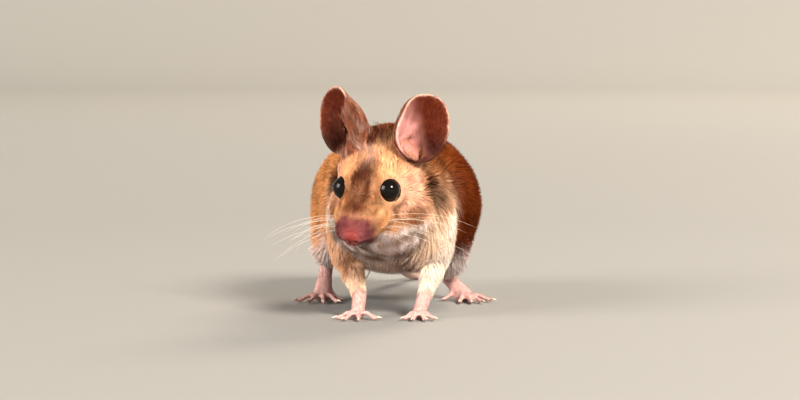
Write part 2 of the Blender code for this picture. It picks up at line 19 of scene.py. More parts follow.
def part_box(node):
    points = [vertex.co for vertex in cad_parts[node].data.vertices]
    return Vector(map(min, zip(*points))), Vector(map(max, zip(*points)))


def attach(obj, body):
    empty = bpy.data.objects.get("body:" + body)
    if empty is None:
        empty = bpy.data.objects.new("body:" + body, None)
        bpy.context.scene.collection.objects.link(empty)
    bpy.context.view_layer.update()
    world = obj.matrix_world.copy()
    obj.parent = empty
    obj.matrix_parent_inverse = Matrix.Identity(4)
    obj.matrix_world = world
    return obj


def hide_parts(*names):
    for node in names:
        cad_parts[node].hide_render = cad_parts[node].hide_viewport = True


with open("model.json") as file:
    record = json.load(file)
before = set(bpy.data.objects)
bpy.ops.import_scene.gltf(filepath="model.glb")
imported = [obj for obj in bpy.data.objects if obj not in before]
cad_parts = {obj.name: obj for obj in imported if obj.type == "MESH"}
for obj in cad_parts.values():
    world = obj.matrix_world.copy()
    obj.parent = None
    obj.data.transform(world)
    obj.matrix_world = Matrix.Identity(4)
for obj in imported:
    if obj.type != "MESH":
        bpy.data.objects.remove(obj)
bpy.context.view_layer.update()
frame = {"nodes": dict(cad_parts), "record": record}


# ---------------------------------------------------------------------------------------------
# The room: a plain pale floor that bends up into a wall, under an even sky. Three soft lamps
# stand as far off as each other: a key in front to the mouse's left, a wide fill to its right,
# and one behind that lights the rims of the ears and the back.
# ---------------------------------------------------------------------------------------------

MM = 0.001


class Wire:
    """A socket in a material's nodes. Python's operators on it add Math nodes."""

    def __init__(self, tree, socket):
        self.tree = tree
        self.socket = socket

    def node(self, kind, settings, values, out=0):
        """Adds a node: its settings first, then a value or a wire for each named input."""
        made = self.tree.nodes.new(kind)
        for name, value in settings.items():
            if name == "stops":
                while len(made.color_ramp.elements) < len(value):
                    made.color_ramp.elements.new(1.0)
                for stop, (place, colour) in zip(made.color_ramp.elements, value):
                    stop.position, stop.color = place, colour
            else:
                setattr(made, name, value)
        for name, value in values.items():
            if isinstance(value, Wire):
                self.tree.links.new(value.socket, made.inputs[name])
            else:
                made.inputs[name].default_value = value
        return Wire(self.tree, made.outputs[out])

    def math(self, operation, first, second=0.0):
        return self.node("ShaderNodeMath", {"operation": operation}, {0: first, 1: second})

    def __add__(self, other):
        return self.math("ADD", self, other)

    def __sub__(self, other):
        return self.math("SUBTRACT", self, other)

    def __rsub__(self, other):
        return self.math("SUBTRACT", other, self)

    def __mul__(self, other):
        return self.math("MULTIPLY", self, other)

    __radd__, __rmul__ = __add__, __mul__

    def into(self, name):
        """Feeds the shader's input of that name."""
        self.tree.links.new(self.socket, self.tree.nodes["Principled BSDF"].inputs[name])


def finish(name, **constants):
    """A material with these constants on its shader, and a wire of the place on the piece."""
    made = bpy.data.materials.new(name)
    made.use_nodes = True
    shader = made.node_tree.nodes["Principled BSDF"]
    for socket, value in constants.items():
        shader.inputs[socket.replace("_", " ")].default_value = value
    place = made.node_tree.nodes.new("ShaderNodeTexCoord").outputs["Object"]
    return made, Wire(made.node_tree, place)


def noise(place, scale, detail):
    """Soft random patches between 0 and 1, about as many to the metre as the scale says."""
    return place.node("ShaderNodeTexNoise", {}, {"Vector": place, "Scale": scale, "Detail": detail})


def placed(name, data):
    """A new object of this data, in the scene."""
    made = bpy.data.objects.new(name, data)
    bpy.context.scene.collection.objects.link(made)
    return made


def new_piece(name, bm, material):
    """Turns a bmesh in metres into a piece that is shaded smooth."""
    mesh = bpy.data.meshes.new(name)
    bm.to_mesh(mesh)
    bm.free()
    mesh.shade_smooth()
    mesh.materials.append(material)
    return placed(name, mesh)


FLOOR_RADIUS, FLOOR_BEND, WALL_HEIGHT = 1.7, 0.7, 1.4  # metres
FLOOR_DROP = 0.03 * MM  # under the soles
FLOOR_SHADES = ((0.12, (0.20, 0.194, 0.183, 1.0)), (0.95, (0.34, 0.33, 0.31, 1.0)))  # near and far
BEND_STEPS, TURN_STEPS = 12, 72

floor_paint, place = finish("floor_paint", Roughness=0.75)
away = place.node("ShaderNodeVectorMath", {"operation": "LENGTH"}, {0: place}, "Value")
spread = away * 0.5 + noise(place, 9.0, 3.0) * 0.03
place.node("ShaderNodeValToRGB", {"stops": FLOOR_SHADES}, {"Fac": spread}).into("Base Color")
bm = bmesh.new()
profile = [bm.verts.new((0.0, 0.0, -FLOOR_DROP)), bm.verts.new((FLOOR_RADIUS, 0.0, -FLOOR_DROP))]
for step in range(1, BEND_STEPS + 1):
    bend = math.radians(90.0 * step / BEND_STEPS)
    profile.append(bm.verts.new((
        FLOOR_RADIUS + FLOOR_BEND * math.sin(bend), 0.0, FLOOR_BEND * (1 - math.cos(bend)) - FLOOR_DROP,
    )))
profile.append(bm.verts.new((FLOOR_RADIUS + FLOOR_BEND, 0.0, FLOOR_BEND + WALL_HEIGHT)))
rim = [bm.edges.new(pair) for pair in zip(profile, profile[1:])]
bmesh.ops.spin(
    bm, geom=profile + rim, cent=(0, 0, 0), axis=(0, 0, 1), angle=math.tau, steps=TURN_STEPS,
    use_merge=True,
)
bmesh.ops.remove_doubles(bm, verts=bm.verts, dist=1e-5)
bmesh.ops.recalc_face_normals(bm, faces=bm.faces)
bmesh.ops.reverse_faces(bm, faces=bm.faces)
floor = new_piece("floor", bm, floor_paint)


LAMP_DISTANCE, LIT_POINT = 2.2, Vector((0.0, -0.045, 0.022))  # metres; the point is in the shoulders


def lamp(name, azimuth, elevation, size, power, colour):
    """A soft square lamp aimed at the mouse. Azimuth 0 is in front of it, towards -Y."""
    data = bpy.data.lights.new(name, "AREA")
    data.size, data.energy, data.color = size, power, colour
    made = placed(name, data)
    turn, rise = math.radians(azimuth), math.radians(elevation)
    away = Vector((math.sin(turn) * math.cos(rise), -math.cos(turn) * math.cos(rise), math.sin(rise)))
    made.location = LIT_POINT + away * LAMP_DISTANCE
    made.rotation_euler = away.to_track_quat("Z", "Y").to_euler()


lamp("key_lamp", 34.0, 36.0, 0.62, 118.0, (1.0, 0.93, 0.84))
lamp("fill_lamp", -62.0, 22.0, 1.18, 80.0, (1.0, 0.95, 0.90))
lamp("rim_lamp", 150.0, 38.0, 0.73, 42.0, (1.0, 0.88, 0.72))

SKY_COLOUR, SKY_STRENGTH = (0.80, 0.79, 0.78, 1.0), 0.36
world = bpy.data.worlds.new("studio")
bpy.context.scene.world = world
world.use_nodes = True
world.node_tree.nodes["Background"].inputs["Color"].default_value = SKY_COLOUR
world.node_tree.nodes["Background"].inputs["Strength"].default_value = SKY_STRENGTH
bpy.context.scene.view_settings.view_transform = "Standard"

CAMERA_ASIDE, CAMERA_BACK, CAMERA_HEIGHT = 1.0, 511.0, 64.0  # from the middle line, nose and floor
CAMERA_LENS, CAMERA_SENSOR, CAMERA_DIP = 110.0, 36.0, 4.2  # millimetres, and degrees below level
axis_x = (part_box("trunk")[0].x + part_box("trunk")[1].x) / 2  # of the trunk's middle line
camera_data = bpy.data.cameras.new("camera")
camera_data.lens, camera_data.sensor_width = CAMERA_LENS, CAMERA_SENSOR
camera_data.clip_start, camera_data.clip_end = 0.01, 200.0
camera = placed("camera", camera_data)
camera.location = (
    axis_x + CAMERA_ASIDE * MM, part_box("nose")[0].y - CAMERA_BACK * MM, CAMERA_HEIGHT * MM
)
camera.rotation_euler = (math.radians(90.0 - CAMERA_DIP), 0.0, 0.0)
bpy.context.scene.camera = camera


# ---------------------------------------------------------------------------------------------
# The skin: one unbroken hide over head, trunk, limbs, ears, feet and tail, fused from copies of
# the solids. It lies inside them by the coat's depth, and shows bare on the nose, ears, feet and
# tail.
# ---------------------------------------------------------------------------------------------

SKIN_VOXEL = 0.22
SWOLLEN, EAR_SWOLLEN = 0.22, 0.1  # how far the copies grow, to meet over the solids' gaps
KEPT = (  # how many corners the skin keeps on each group of parts; the nose keeps all of its own
    (24000, ("trunk", "thigh", "upper_arm", "forearm", "shank")),
    (30000, ("head", "neck", "lower_jaw")),
    (30000, ("ear", "forefoot", "hindfoot", "tail")),
)
BARE = ("nose", "ear", "forefoot", "hindfoot", "tail")
nodes = frame["nodes"]
flesh = sorted(name for name in nodes if not name.startswith(("eye_", "whisker_")))


def swollen(name):
    """A copy of a node's mesh, merged and grown enough to meet its neighbours over the gap."""
    bm = bmesh.new()
    bm.from_mesh(nodes[name].data)
    bmesh.ops.remove_doubles(bm, verts=bm.verts, dist=1e-3 * MM)
    made = new_piece(name + ".copy", bm, None)
    if name.startswith(BARE):
        rounder = made.modifiers.new("rounder", "SUBSURF")
        rounder.levels = rounder.render_levels = 2
    grow = made.modifiers.new("grow", "DISPLACE")
    grow.strength = (EAR_SWOLLEN if name.startswith("ear") else SWOLLEN) * MM
    grow.mid_level = 0.0
    return made


def settled(obj):
    """The object's mesh with its modifiers applied, as a mesh of its own."""
    graph = bpy.context.evaluated_depsgraph_get()
    return bpy.data.meshes.new_from_object(obj.evaluated_get(graph))


whole = bmesh.new()
for name in flesh:
    copy = swollen(name)
    whole.from_mesh(settled(copy))
    bpy.data.objects.remove(copy)

# A furred ridge closes the front of the right ear, from its inner edge down to the brow.
RIDGE_AT = (0.64, 0.36, 0.33)  # shares of the ear's box
RIDGE_RADII = (4.6, 1.7, 6.6)
RIDGE_TURN, RIDGE_LEAN = -57.0, 7.0  # degrees about Z, then about Y
low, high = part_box("ear_right")
ridge_place = low + Vector(a * b for a, b in zip(high - low, RIDGE_AT))
ridge_turned = Matrix.Rotation(math.radians(RIDGE_TURN), 3, "Z")
ridge_axes = Matrix.Rotation(math.radians(RIDGE_LEAN), 3, "Y") @ ridge_turned
ridge_size = Matrix.Diagonal([r * MM for r in RIDGE_RADII])
bmesh.ops.create_icosphere(
    whole, subdivisions=3, radius=1.0,
    matrix=Matrix.Translation(ridge_place) @ (ridge_axes @ ridge_size).to_4x4(),
)

skin = new_piece("skin", whole, None)
fuse = skin.modifiers.new("fuse", "REMESH")
fuse.mode, fuse.voxel_size = "VOXEL", SKIN_VOXEL * MM
skin.data = settled(skin)
skin.modifiers.clear()

# All the solids of flesh as one tree, in millimetres, with the number of each face's node.
corners, faces, owner = [], [], []
for number, name in enumerate(flesh):
    first = len(corners)
    corners += [v.co / MM for v in nodes[name].data.vertices]
    faces += [[first + i for i in p.vertices] for p in nodes[name].data.polygons]
    owner += [number] * len(nodes[name].data.polygons)
solids = BVHTree.FromPolygons(corners, faces)
owner = np.array(owner)


def read(items, what, width, kind):
    """A row of numbers of this kind for each item of a mesh."""
    flat = np.empty(len(items) * width, kind)
    items.foreach_get(what, flat)
    return flat.reshape(-1, width)


def places_of(mesh):
    """The mesh's vertices in millimetres."""
    return read(mesh.vertices, "co", 3, np.float32).astype(float) / MM


def nearest_node(places):
    """For each place, the number of the node that it lies nearest to."""
    return owner[[solids.find_nearest(p)[2] for p in places.tolist()]]


def middle(name):
    """The middle of a node's box, in millimetres."""
    low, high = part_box(name)
    return (low + high) / 2 / MM


def unit(vectors):
    """The same directions, each of length 1."""
    return vectors / np.maximum(np.linalg.norm(vectors, axis=-1, keepdims=True), 1e-9)


def ramp(values, low, high):
    """0 below low, 1 above high, and a smooth rise between them."""
    share = np.clip((values - low) / (high - low), 0.0, 1.0)
    return share * share * (3.0 - 2.0 * share)


def fall(values, low, high):
    """1 below low, 0 above high, and a smooth fall between them."""
    return 1.0 - ramp(values, low, high)


# The head's own frame: across to its left, back from the nose tip, and up.
EYE_RADIUS = 2.45
EYE_BACK, EYE_UP, NOSE_TO_EYE_RISE = 13.4, 2.3, 8.2  # millimetres, and degrees
LEFT_EYE_RISE = 0.5  # millimetres above its solid, to stand in the brow
eyes = {"left": middle("eye_left"), "right": middle("eye_right")}
between_eyes = (eyes["left"] + eyes["right"]) / 2
across = (eyes["left"] - eyes["right"]).normalized()
to_eyes = between_eyes - middle("nose")
to_eyes = (to_eyes - across * to_eyes.dot(across)).normalized()
backward = Matrix.Rotation(math.radians(-NOSE_TO_EYE_RISE), 3, across) @ to_eyes
upward = across.cross(backward)
nose_tip = between_eyes - backward * EYE_BACK - upward * EYE_UP
head_axes = np.array([across, backward, upward])
eyes["left"] = eyes["left"] + upward * LEFT_EYE_RISE


def in_head(places):
    """Places in the head's own frame."""
    return (places - np.array(nose_tip)) @ head_axes.T


# The hide is thinned, group by group, to the corners that each one keeps.
for wanted, parts in KEPT:
    region = nearest_node(places_of(skin.data))
    inside = np.isin(region, [k for k, name in enumerate(flesh) if name.startswith(parts)])
    thin = skin.vertex_groups.new(name="thin")
    thin.add(np.flatnonzero(inside).tolist(), 1.0, "REPLACE")
    fewer = skin.modifiers.new("fewer", "DECIMATE")
    fewer.vertex_group = "thin"
    fewer.ratio = min(1.0, 1.0 - (inside.sum() - wanted) / len(inside))
    fewer.use_collapse_triangulate = True
    skin.data = settled(skin)
    skin.modifiers.clear()
    skin.vertex_groups.clear()

# The nose and lips are cut finer, for the nostrils and the mouth.
FINE_BACK, FINE_ASIDE, FINE_DOWN = 4.5, 4.5, 5
bm = bmesh.new()
bm.from_mesh(skin.data)
bm.verts.ensure_lookup_table()
local = in_head(places_of(skin.data))
in_front = (local[:, 1] < FINE_BACK) & (np.abs(local[:, 0]) < FINE_ASIDE) & (local[:, 2] > -FINE_DOWN)
fine = set(np.flatnonzero(in_front).tolist())
bmesh.ops.subdivide_edges(
    bm, edges=[e for e in bm.edges if e.verts[0].index in fine and e.verts[1].index in fine], cuts=1
)
bmesh.ops.triangulate(bm, faces=bm.faces)
bm.to_mesh(skin.data)
bm.free()

# For each vertex, the node it lies nearest to, and up to seven vertices beside it.
BESIDE = 7
places = places_of(skin.data)
total = len(places)
region = nearest_node(places)
pairs = read(skin.data.edges, "vertices", 2, np.int32)
pairs = np.vstack([pairs, pairs[:, ::-1]])
pairs = pairs[np.argsort(pairs[:, 0], kind="stable")]
counts = np.bincount(pairs[:, 0], minlength=total)
turn = np.arange(len(pairs)) - (np.cumsum(counts) - counts)[pairs[:, 0]]
beside = np.tile(np.arange(total)[:, None], (1, BESIDE))
kept = turn < BESIDE
beside[pairs[kept, 0], turn[kept]] = pairs[kept, 1]


def blurred(values, times, share=None):
    """Averages values with those of the vertices beside them, a number of times."""
    for _ in range(times):
        mean = values[beside].mean(axis=1)
        values = mean if share is None else values + (mean - values) * share
    return values


triangles = read(skin.data.polygons, "vertices", 3, np.int32)


def normals_at(places):
    """Unit normals of the skin's vertices, weighted by the area of the faces round them."""
    a, b, c = (places[triangles[:, k]] for k in range(3))
    face = np.cross(b - a, c - a)
    summed = np.stack([
        np.bincount(triangles.ravel(), np.repeat(face[:, axis], 3), minlength=total)
        for axis in range(3)
    ], axis=1)
    return unit(summed)


def by_node(table, columns):
    """Spreads a table of numbers by the first word of a node's name over the skin's vertices."""
    rows = [next(table[key] for key in table if name.startswith(key)) for name in flesh]
    return np.array(rows, float).reshape(len(flesh), columns)[region]


def on_parts(*names):
    """1 at the skin's vertices on the nodes whose names start like these, and 0 elsewhere."""
    return np.array([float(name.startswith(names)) for name in flesh])[region]


def near(places, centre):
    """How far each place is from the centre."""
    return np.linalg.norm(places - np.array(centre), axis=1)


COVER_REACH, COVER_GAP = 7.0, 1.0  # how far a ray looks, and the widest gap it crosses
COVER_STEP, COVER_SURFACES = 0.01, 6  # how far past a surface it starts again, and how often


def cover(places, headings, wanted):
    """How far the solids reach outward past the wanted places, over the gaps between them."""
    reach = np.zeros(len(places))
    for index in np.flatnonzero(wanted).tolist():
        at, heading, gone = Vector(places[index]), Vector(headings[index]), 0.0
        for _ in range(COVER_SURFACES):
            hit, facing, _, distance = solids.ray_cast(at + heading * COVER_STEP, heading, COVER_REACH)
            if hit is None:
                break
            gone += distance + COVER_STEP
            if facing.dot(heading) > 0.0:
                reach[index] = gone
            elif gone - reach[index] > COVER_GAP:
                break
            at = hit
    return reach


# How much each part's facets are eased, and how deep its coat is. Both fade over the head.
EASE = {"trunk": 1.0, "neck": 0.8, "head": 0.5, "lower_jaw": 0.12, "nose": 0.06, "upper_arm": 0.4,
        "forearm": 0.12, "thigh": 0.8, "shank": 0.15, "forefoot": 0.04, "hindfoot": 0.04,
        "ear": 0.10, "tail": 0.10}
DEPTH = {"trunk": 2.1, "neck": 1.9, "head": 1.5, "lower_jaw": 0.5, "nose": 0.0, "upper_arm": 1.3,
         "forearm": 0.6, "thigh": 1.9, "shank": 0.6, "forefoot": 0.05, "hindfoot": 0.05,
         "ear": 0.0, "tail": 0.0}
local = in_head(places)
from_eye = np.minimum(near(places, eyes["left"]), near(places, eyes["right"])) - EYE_RADIUS
on_head = on_parts("head")
bare, ears = on_parts(*BARE) > 0, on_parts("ear") > 0
head_fade = np.where(on_head > 0, 0.22 + 0.78 * ramp(local[:, 1], 5.0, 24.0), 1.0)
throat = ramp(local[:, 1], 2.0, 4.0) * on_parts("head", "neck", "lower_jaw")
ease = by_node(EASE, 1)[:, 0] * head_fade * (0.08 + 0.92 * ramp(from_eye, 0.6, 3.0))
ease = np.maximum(ease, 0.9 * ramp(-local[:, 2], 4.5, 6.5) * throat)
ease = blurred(ease, 6)
places = blurred(places, 60, ease[:, None])
depth = by_node(DEPTH, 1)[:, 0] * head_fade
depth = blurred(depth, 30) * ramp(from_eye, 0.2, 2.4)
outward = unit(blurred(normals_at(places), 6))
spare = blurred(np.minimum(cover(places, outward, ~bare), 5.0), 12)
spare = np.where(bare, np.where(ears, 0.0, -SWOLLEN), spare)
places = places + outward * blurred(spare - depth, 8)[:, None]

# The whisker pads swell out each side of the muzzle.
PAD, PAD_RADII, PAD_SWELL = (4.4, 8.0, -0.4), (2.4, 2.7, 2.4), 1.3
local = in_head(places)
pad = (np.column_stack([np.abs(local[:, 0]), local[:, 1:]]) - PAD) / PAD_RADII
swell = PAD_SWELL * np.exp(-(pad**2).sum(axis=1)) * np.sign(local[:, 0])
places = places + np.array(across) * swell[:, None]

# The lids open as a circle round each eye's own axis, and fit closely on the ball.
LID_GAP, LID_OPENING, LID_SECTORS = 0.06, 70.0, 20  # millimetres, degrees, and steps round the eye
LID_SLIDE, LID_SPREAD = 25.0, 60.0  # degrees that a lid may move, and that the move fades over
LID_SLACK, LID_TOUCHES, GAZE = 0.55, 0.45, 0.62  # the last is how far an eye turns forward and up
gaze = {}
for name, eye in eyes.items():
    sign = 1 if name == "left" else -1
    gaze[name] = (across * sign - backward * GAZE + upward * GAZE).normalized()
    axis, eye = np.array(gaze[name]), np.array(eye)
    second = unit(np.cross(axis, upward))
    out = places - eye
    far = np.linalg.norm(out, axis=1)
    angle = np.degrees(np.arccos(np.clip(unit(out) @ axis, -1.0, 1.0)))
    turned = np.arctan2(out @ np.cross(axis, second), out @ second)
    sector = ((turned + math.pi) / math.tau * LID_SECTORS).astype(int) % LID_SECTORS
    touching = far < EYE_RADIUS + LID_TOUCHES
    edge = np.array([angle[touching & (sector == k)].min(initial=120.0) for k in range(LID_SECTORS)])
    edge = (np.roll(edge, 1) + 2 * edge + np.roll(edge, -1)) / 4
    middles = (np.arange(LID_SECTORS) + 0.5) / LID_SECTORS * math.tau - math.pi
    edge = np.interp(turned, middles, edge, period=math.tau)
    share = fall(far, EYE_RADIUS + 0.5, EYE_RADIUS + 2.2)
    share *= fall(angle - edge, 0.0, LID_SPREAD)
    angle = np.radians(angle + np.clip(LID_OPENING - edge, -LID_SLIDE, LID_SLIDE) * share)
    aside = unit(out - (out @ axis)[:, None] * axis)
    moved = eye + far[:, None] * (axis * np.cos(angle)[:, None] + aside * np.sin(angle)[:, None])
    places = np.where(share[:, None] > 0, moved, places)
    out = places - eye
    snug = EYE_RADIUS + LID_GAP + np.maximum(far - EYE_RADIUS - LID_GAP, 0.0) * LID_SLACK
    share = fall(far, EYE_RADIUS + 0.4, EYE_RADIUS + 1.1)
    wanted = np.maximum(far + (snug - far) * share, EYE_RADIUS + LID_GAP)
    close = far < EYE_RADIUS + 1.1
    places[close] = (eye + unit(out) * wanted[:, None])[close]

# Nostrils, the groove below the nose, and the line of the mouth.
NOSTRIL_DEEP, GROOVE_DEEP, MOUTH_DEEP = 0.55, 0.22, 0.25
local = in_head(places)
side = np.abs(local[:, 0])
front = normals_at(places)
nostril = np.exp(-((side - 1.25) / 0.38) ** 2 - ((local[:, 2] - 0.15 + 0.35 * (side - 1.2)) / 0.30) ** 2)
nostril *= fall(local[:, 1], 1.6, 2.6)
groove = np.exp(-(local[:, 0] / 0.22) ** 2) * fall(local[:, 2], 0.2, 1.2)
groove *= fall(local[:, 1], 2.4, 3.4)
mouth_height = -2.35 - 0.16 * side**1.5
mouth = np.exp(-((local[:, 2] - mouth_height) / 0.22) ** 2) * fall(side, 2.6, 3.6)
mouth *= ramp(local[:, 1], 0.6, 1.4) * fall(local[:, 1], 6.0, 7.5) * (on_head > 0)
dent = NOSTRIL_DEEP * nostril + GROOVE_DEEP * groove + MOUTH_DEEP * mouth
places = places - front * dent[:, None]

# The ears' cups. Fields say where each is hollow, blushes pink, is deep in shade or has fur, how
# high a point is on its ear, and where the fold at the base and the thin rim are.
EAR_OPENS = {"left": 24.0, "right": -50.0}  # degrees from -Y towards +X
EAR_LEANS = {"left": (0.7, 0.0, 0.6), "right": (-1.5, 0.0, 1.2)}  # of the tip
FOLD_HEIGHT = 0.30
inside_ear, fold, ear_blush, ear_fur, ear_deep, ear_tall = np.zeros((6, total))
normals = normals_at(places)
rim_share = 1.0 - np.linalg.norm(blurred(normals, 5), axis=1)
for name, degrees in EAR_OPENS.items():
    this = on_parts(f"ear_{name}")
    opens = np.array([math.sin(math.radians(degrees)), -math.cos(math.radians(degrees)), 0.1])
    low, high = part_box(f"ear_{name}")
    height = (places[:, 2] - low.z / MM) / ((high.z - low.z) / MM)
    inward = (places - np.array(middle(f"ear_{name}"))) @ np.cross(opens, (0, 0, 1))
    inward = inward * (1 if name == "left" else -1)
    inside_ear += this * ramp(normals @ opens, -0.05, 0.25)
    ear_tall += this * height
    blush = this * ramp(inward - 3.0 * (height - 0.4), -2.4, 2.8)
    ear_blush += blush * fall(height, 0.5, 1.0) * ramp(height, 0.04, 0.26)
    ear_deep += this * ramp(-inward, -0.5, 3.0) * fall(height, 0.15, 0.55)
    furry = this * ramp(inward, 0.4, 3.0) * fall(height, 0.7, 0.95)
    ear_fur += furry * (1.0 - inside_ear if name == "left" else 1.0)
    fold += this * np.exp(-((inward - 1.6) / 0.8) ** 2 - ((height - 0.26) / 0.13) ** 2)
    lean = this * np.clip(height, 0.0, 1.0) ** 1.3
    places = places + lean[:, None] * np.array(EAR_LEANS[name])
ear_rim = ramp(rim_share, 0.06, 0.26) * ears
places = places + normals * (FOLD_HEIGHT * fold * inside_ear)[:, None]
places[:, 2] = np.maximum(places[:, 2], 0.0)
skin.data.vertices.foreach_set("co", (places * MM).astype(np.float32).ravel())
skin.data.update()
skin.data.shade_smooth()
normals = normals_at(places)


WAVES = 14


def mottle(places, size, seed):
    """Uneven patches between -1 and 1, about as wide as the size in millimetres."""
    waves = np.random.default_rng(seed)
    total_wave = np.zeros(len(places))
    for _ in range(WAVES):
        heading = unit(waves.normal(size=3)) * math.tau / (size * waves.uniform(1.2, 3.0))
        total_wave += np.sin(places @ heading + waves.uniform(0, math.tau))
    return np.clip(total_wave / 4.0, -1.0, 1.0)


# The markings. One set of colours serves the skin and the coat that stands on it.
RUST = (0.150, 0.030, 0.007)
DARK = (0.022, 0.007, 0.004)
TAWNY = (0.62, 0.235, 0.072)
# Painted light: amber for the lit front of the right flank and a rim along the left flank.
AMBER_LIGHT = (0.78, 0.32, 0.115)
SAND = (0.64, 0.33, 0.165)
BROW = (0.98, 0.48, 0.24)
CREAM = (0.76, 0.47, 0.31)
STRAW = (0.94, 0.64, 0.45)
PEACH = (0.95, 0.51, 0.35)
WHITE = (0.76, 0.65, 0.63)
# Painted light: whiter fur for the lit left foreleg.
LIT_MILK = (0.92, 0.76, 0.64)
GREY = (0.24, 0.145, 0.110)
LILAC = (0.46, 0.28, 0.23)
UMBER = (0.28, 0.10, 0.038)
SIENNA = (0.30, 0.100, 0.052)
BRIDGE = (0.085, 0.024, 0.012)
CROWN = (0.070, 0.018, 0.010)
NOSE_RED = (0.19, 0.030, 0.025)
SNOUT = (0.22, 0.060, 0.062)
# Partly the bare snout's colour, partly painted shade.
MAUVE_SHADE = (0.10, 0.028, 0.034)
EAR_RED = (0.080, 0.010, 0.002)
EAR_PINK = (0.70, 0.32, 0.29)
EAR_BACK = (0.20, 0.065, 0.026)
# Painted rim light on the ears' edges.
EAR_RIM_LIGHT = (0.80, 0.48, 0.36)
LID = (0.040, 0.020, 0.016)
PAW = (0.56, 0.32, 0.29)
TAIL_BROWN = (0.15, 0.078, 0.055)
TAIL_PALE = (0.55, 0.37, 0.31)


def spot(centre, radii):
    """A soft round patch in the head's own frame, on both sides of it."""
    gone = (np.column_stack([side, local[:, 1], local[:, 2]]) - np.array(centre)) / np.array(radii)
    return np.exp(-(gone**2).sum(axis=1))


def painted(paint, *layers):
    """The paint with each layer's colour laid over it in turn, by that layer's share."""
    for colour, share in layers:
        paint = paint + (np.array(colour) - paint) * np.clip(share, 0.0, 1.0)[:, None]
    return paint


def all_over(colour):
    return np.tile(np.array(colour), (total, 1))


local = in_head(places)
side = np.abs(local[:, 0])
ragged = mottle(places, 1.6, 3)
broad = mottle(places, 6.0, 4)
streaks = mottle(local * (1.0, 0.3, 1.0), 0.9, 5)
is_arm = blurred(on_parts("upper_arm", "forearm"), 8)
x, y, z = (places - (axis_x / MM, 0.0, 0.0)).T

# Body: rust above with dark ticks, tawny low on the flanks, greyish white below. The front half
# has painted light in amber on the right flank and painted shade in dark rust on the left,
# edged with a painted amber rim light. The shoulders and forelegs are pale, and the left
# foreleg is whiter still with painted light.
forward = fall(y + 3.0 * broad, -34.0, -18.0)
ticks = 0.75 * ramp(ragged + 0.5 * broad, -0.1, 0.9)
low_side = fall(z + 1.6 * ragged, 7.0, 10.5)
underneath = ramp(-normals[:, 2] + 0.15 * ragged, 0.10, 0.45) * fall(z, 15.0, 21.0)
front_facing = ramp(-normals[:, 1], 0.05, 0.5) * ramp(-y, 44.0, 50.0)
shoulder = front_facing * fall(z + 1.5 * ragged, 25.0, 30.0)
chest = front_facing * fall(z + ragged, 18.0, 22.0)
chest = chest * fall(np.abs(x + 2.8) + ragged, 7.0, 10.0)
# Painted shade: the front of the left flank is darkened to rust, with a darker core.
shaded_left_flank = forward * ramp(x + 0.6 * ragged, 9.0, 11.8) * ramp(z, 12.0, 16.0)
shaded_left_core = 0.6 * forward * ramp(x, 11.0, 14.0) * ramp(z, 15.0, 19.0)
# Painted light: the left foreleg's pale fur is made whiter than the right one's.
lit_left_foreleg = is_arm * ramp(-y, 48.0, 54.0) * ramp(x, 0.0, 3.0)
paint = painted(
    all_over(RUST),
    (TAWNY, 0.06 + 0.2 * broad + 0.7 * fall(z + 2.0 * ragged, 9.0, 19.0)),
    (TAWNY, (1.0 - forward) * (0.22 + 0.3 * broad)),
    # Painted light: the front of the right flank is lit amber.
    (AMBER_LIGHT, forward * ramp(-x, 7.0, 13.0) * (1.0 - 0.35 * ramp(ragged, 0.0, 1.0))),
    (DARK, ticks * ramp(z + 3 * broad, 17.0, 30.0)),
    (WHITE, np.maximum(underneath, low_side) * (1.0 - 0.6 * ramp(normals[:, 1], 0.5, 0.9))),
    (STRAW, shoulder * (1.0 - 0.3 * ramp(ragged, 0.2, 1.0))),
    (WHITE, 0.3 * chest),
    (GREY, chest * ramp(ragged + 0.6 * broad, -1.4, 0.3)),
    # Painted shade on the front of the left flank, in rust and then dark.
    (RUST, shaded_left_flank * ramp(y, -54.0, -50.0)),
    (DARK, shaded_left_core * ramp(ragged + 0.6 * broad, -0.6, 0.6)),
    # Painted rim light: an amber edge along the outer side of the left flank.
    (AMBER_LIGHT, 0.9 * ramp(x, 16.9, 17.9) * ramp(z, 9.0, 14.0) * fall(z, 27.0, 32.0)),
    (STRAW, on_parts("forearm", "shank") * 0.85),
    (TAWNY, 0.5 * is_arm * ramp(-x, 3.0, 6.0) * ramp(z, 8.0, 12.0)),
    # Painted light on the left foreleg, over its pale fur.
    (LIT_MILK, lit_left_foreleg * fall(x + 0.5 * ragged, 11.3, 12.8)),
)

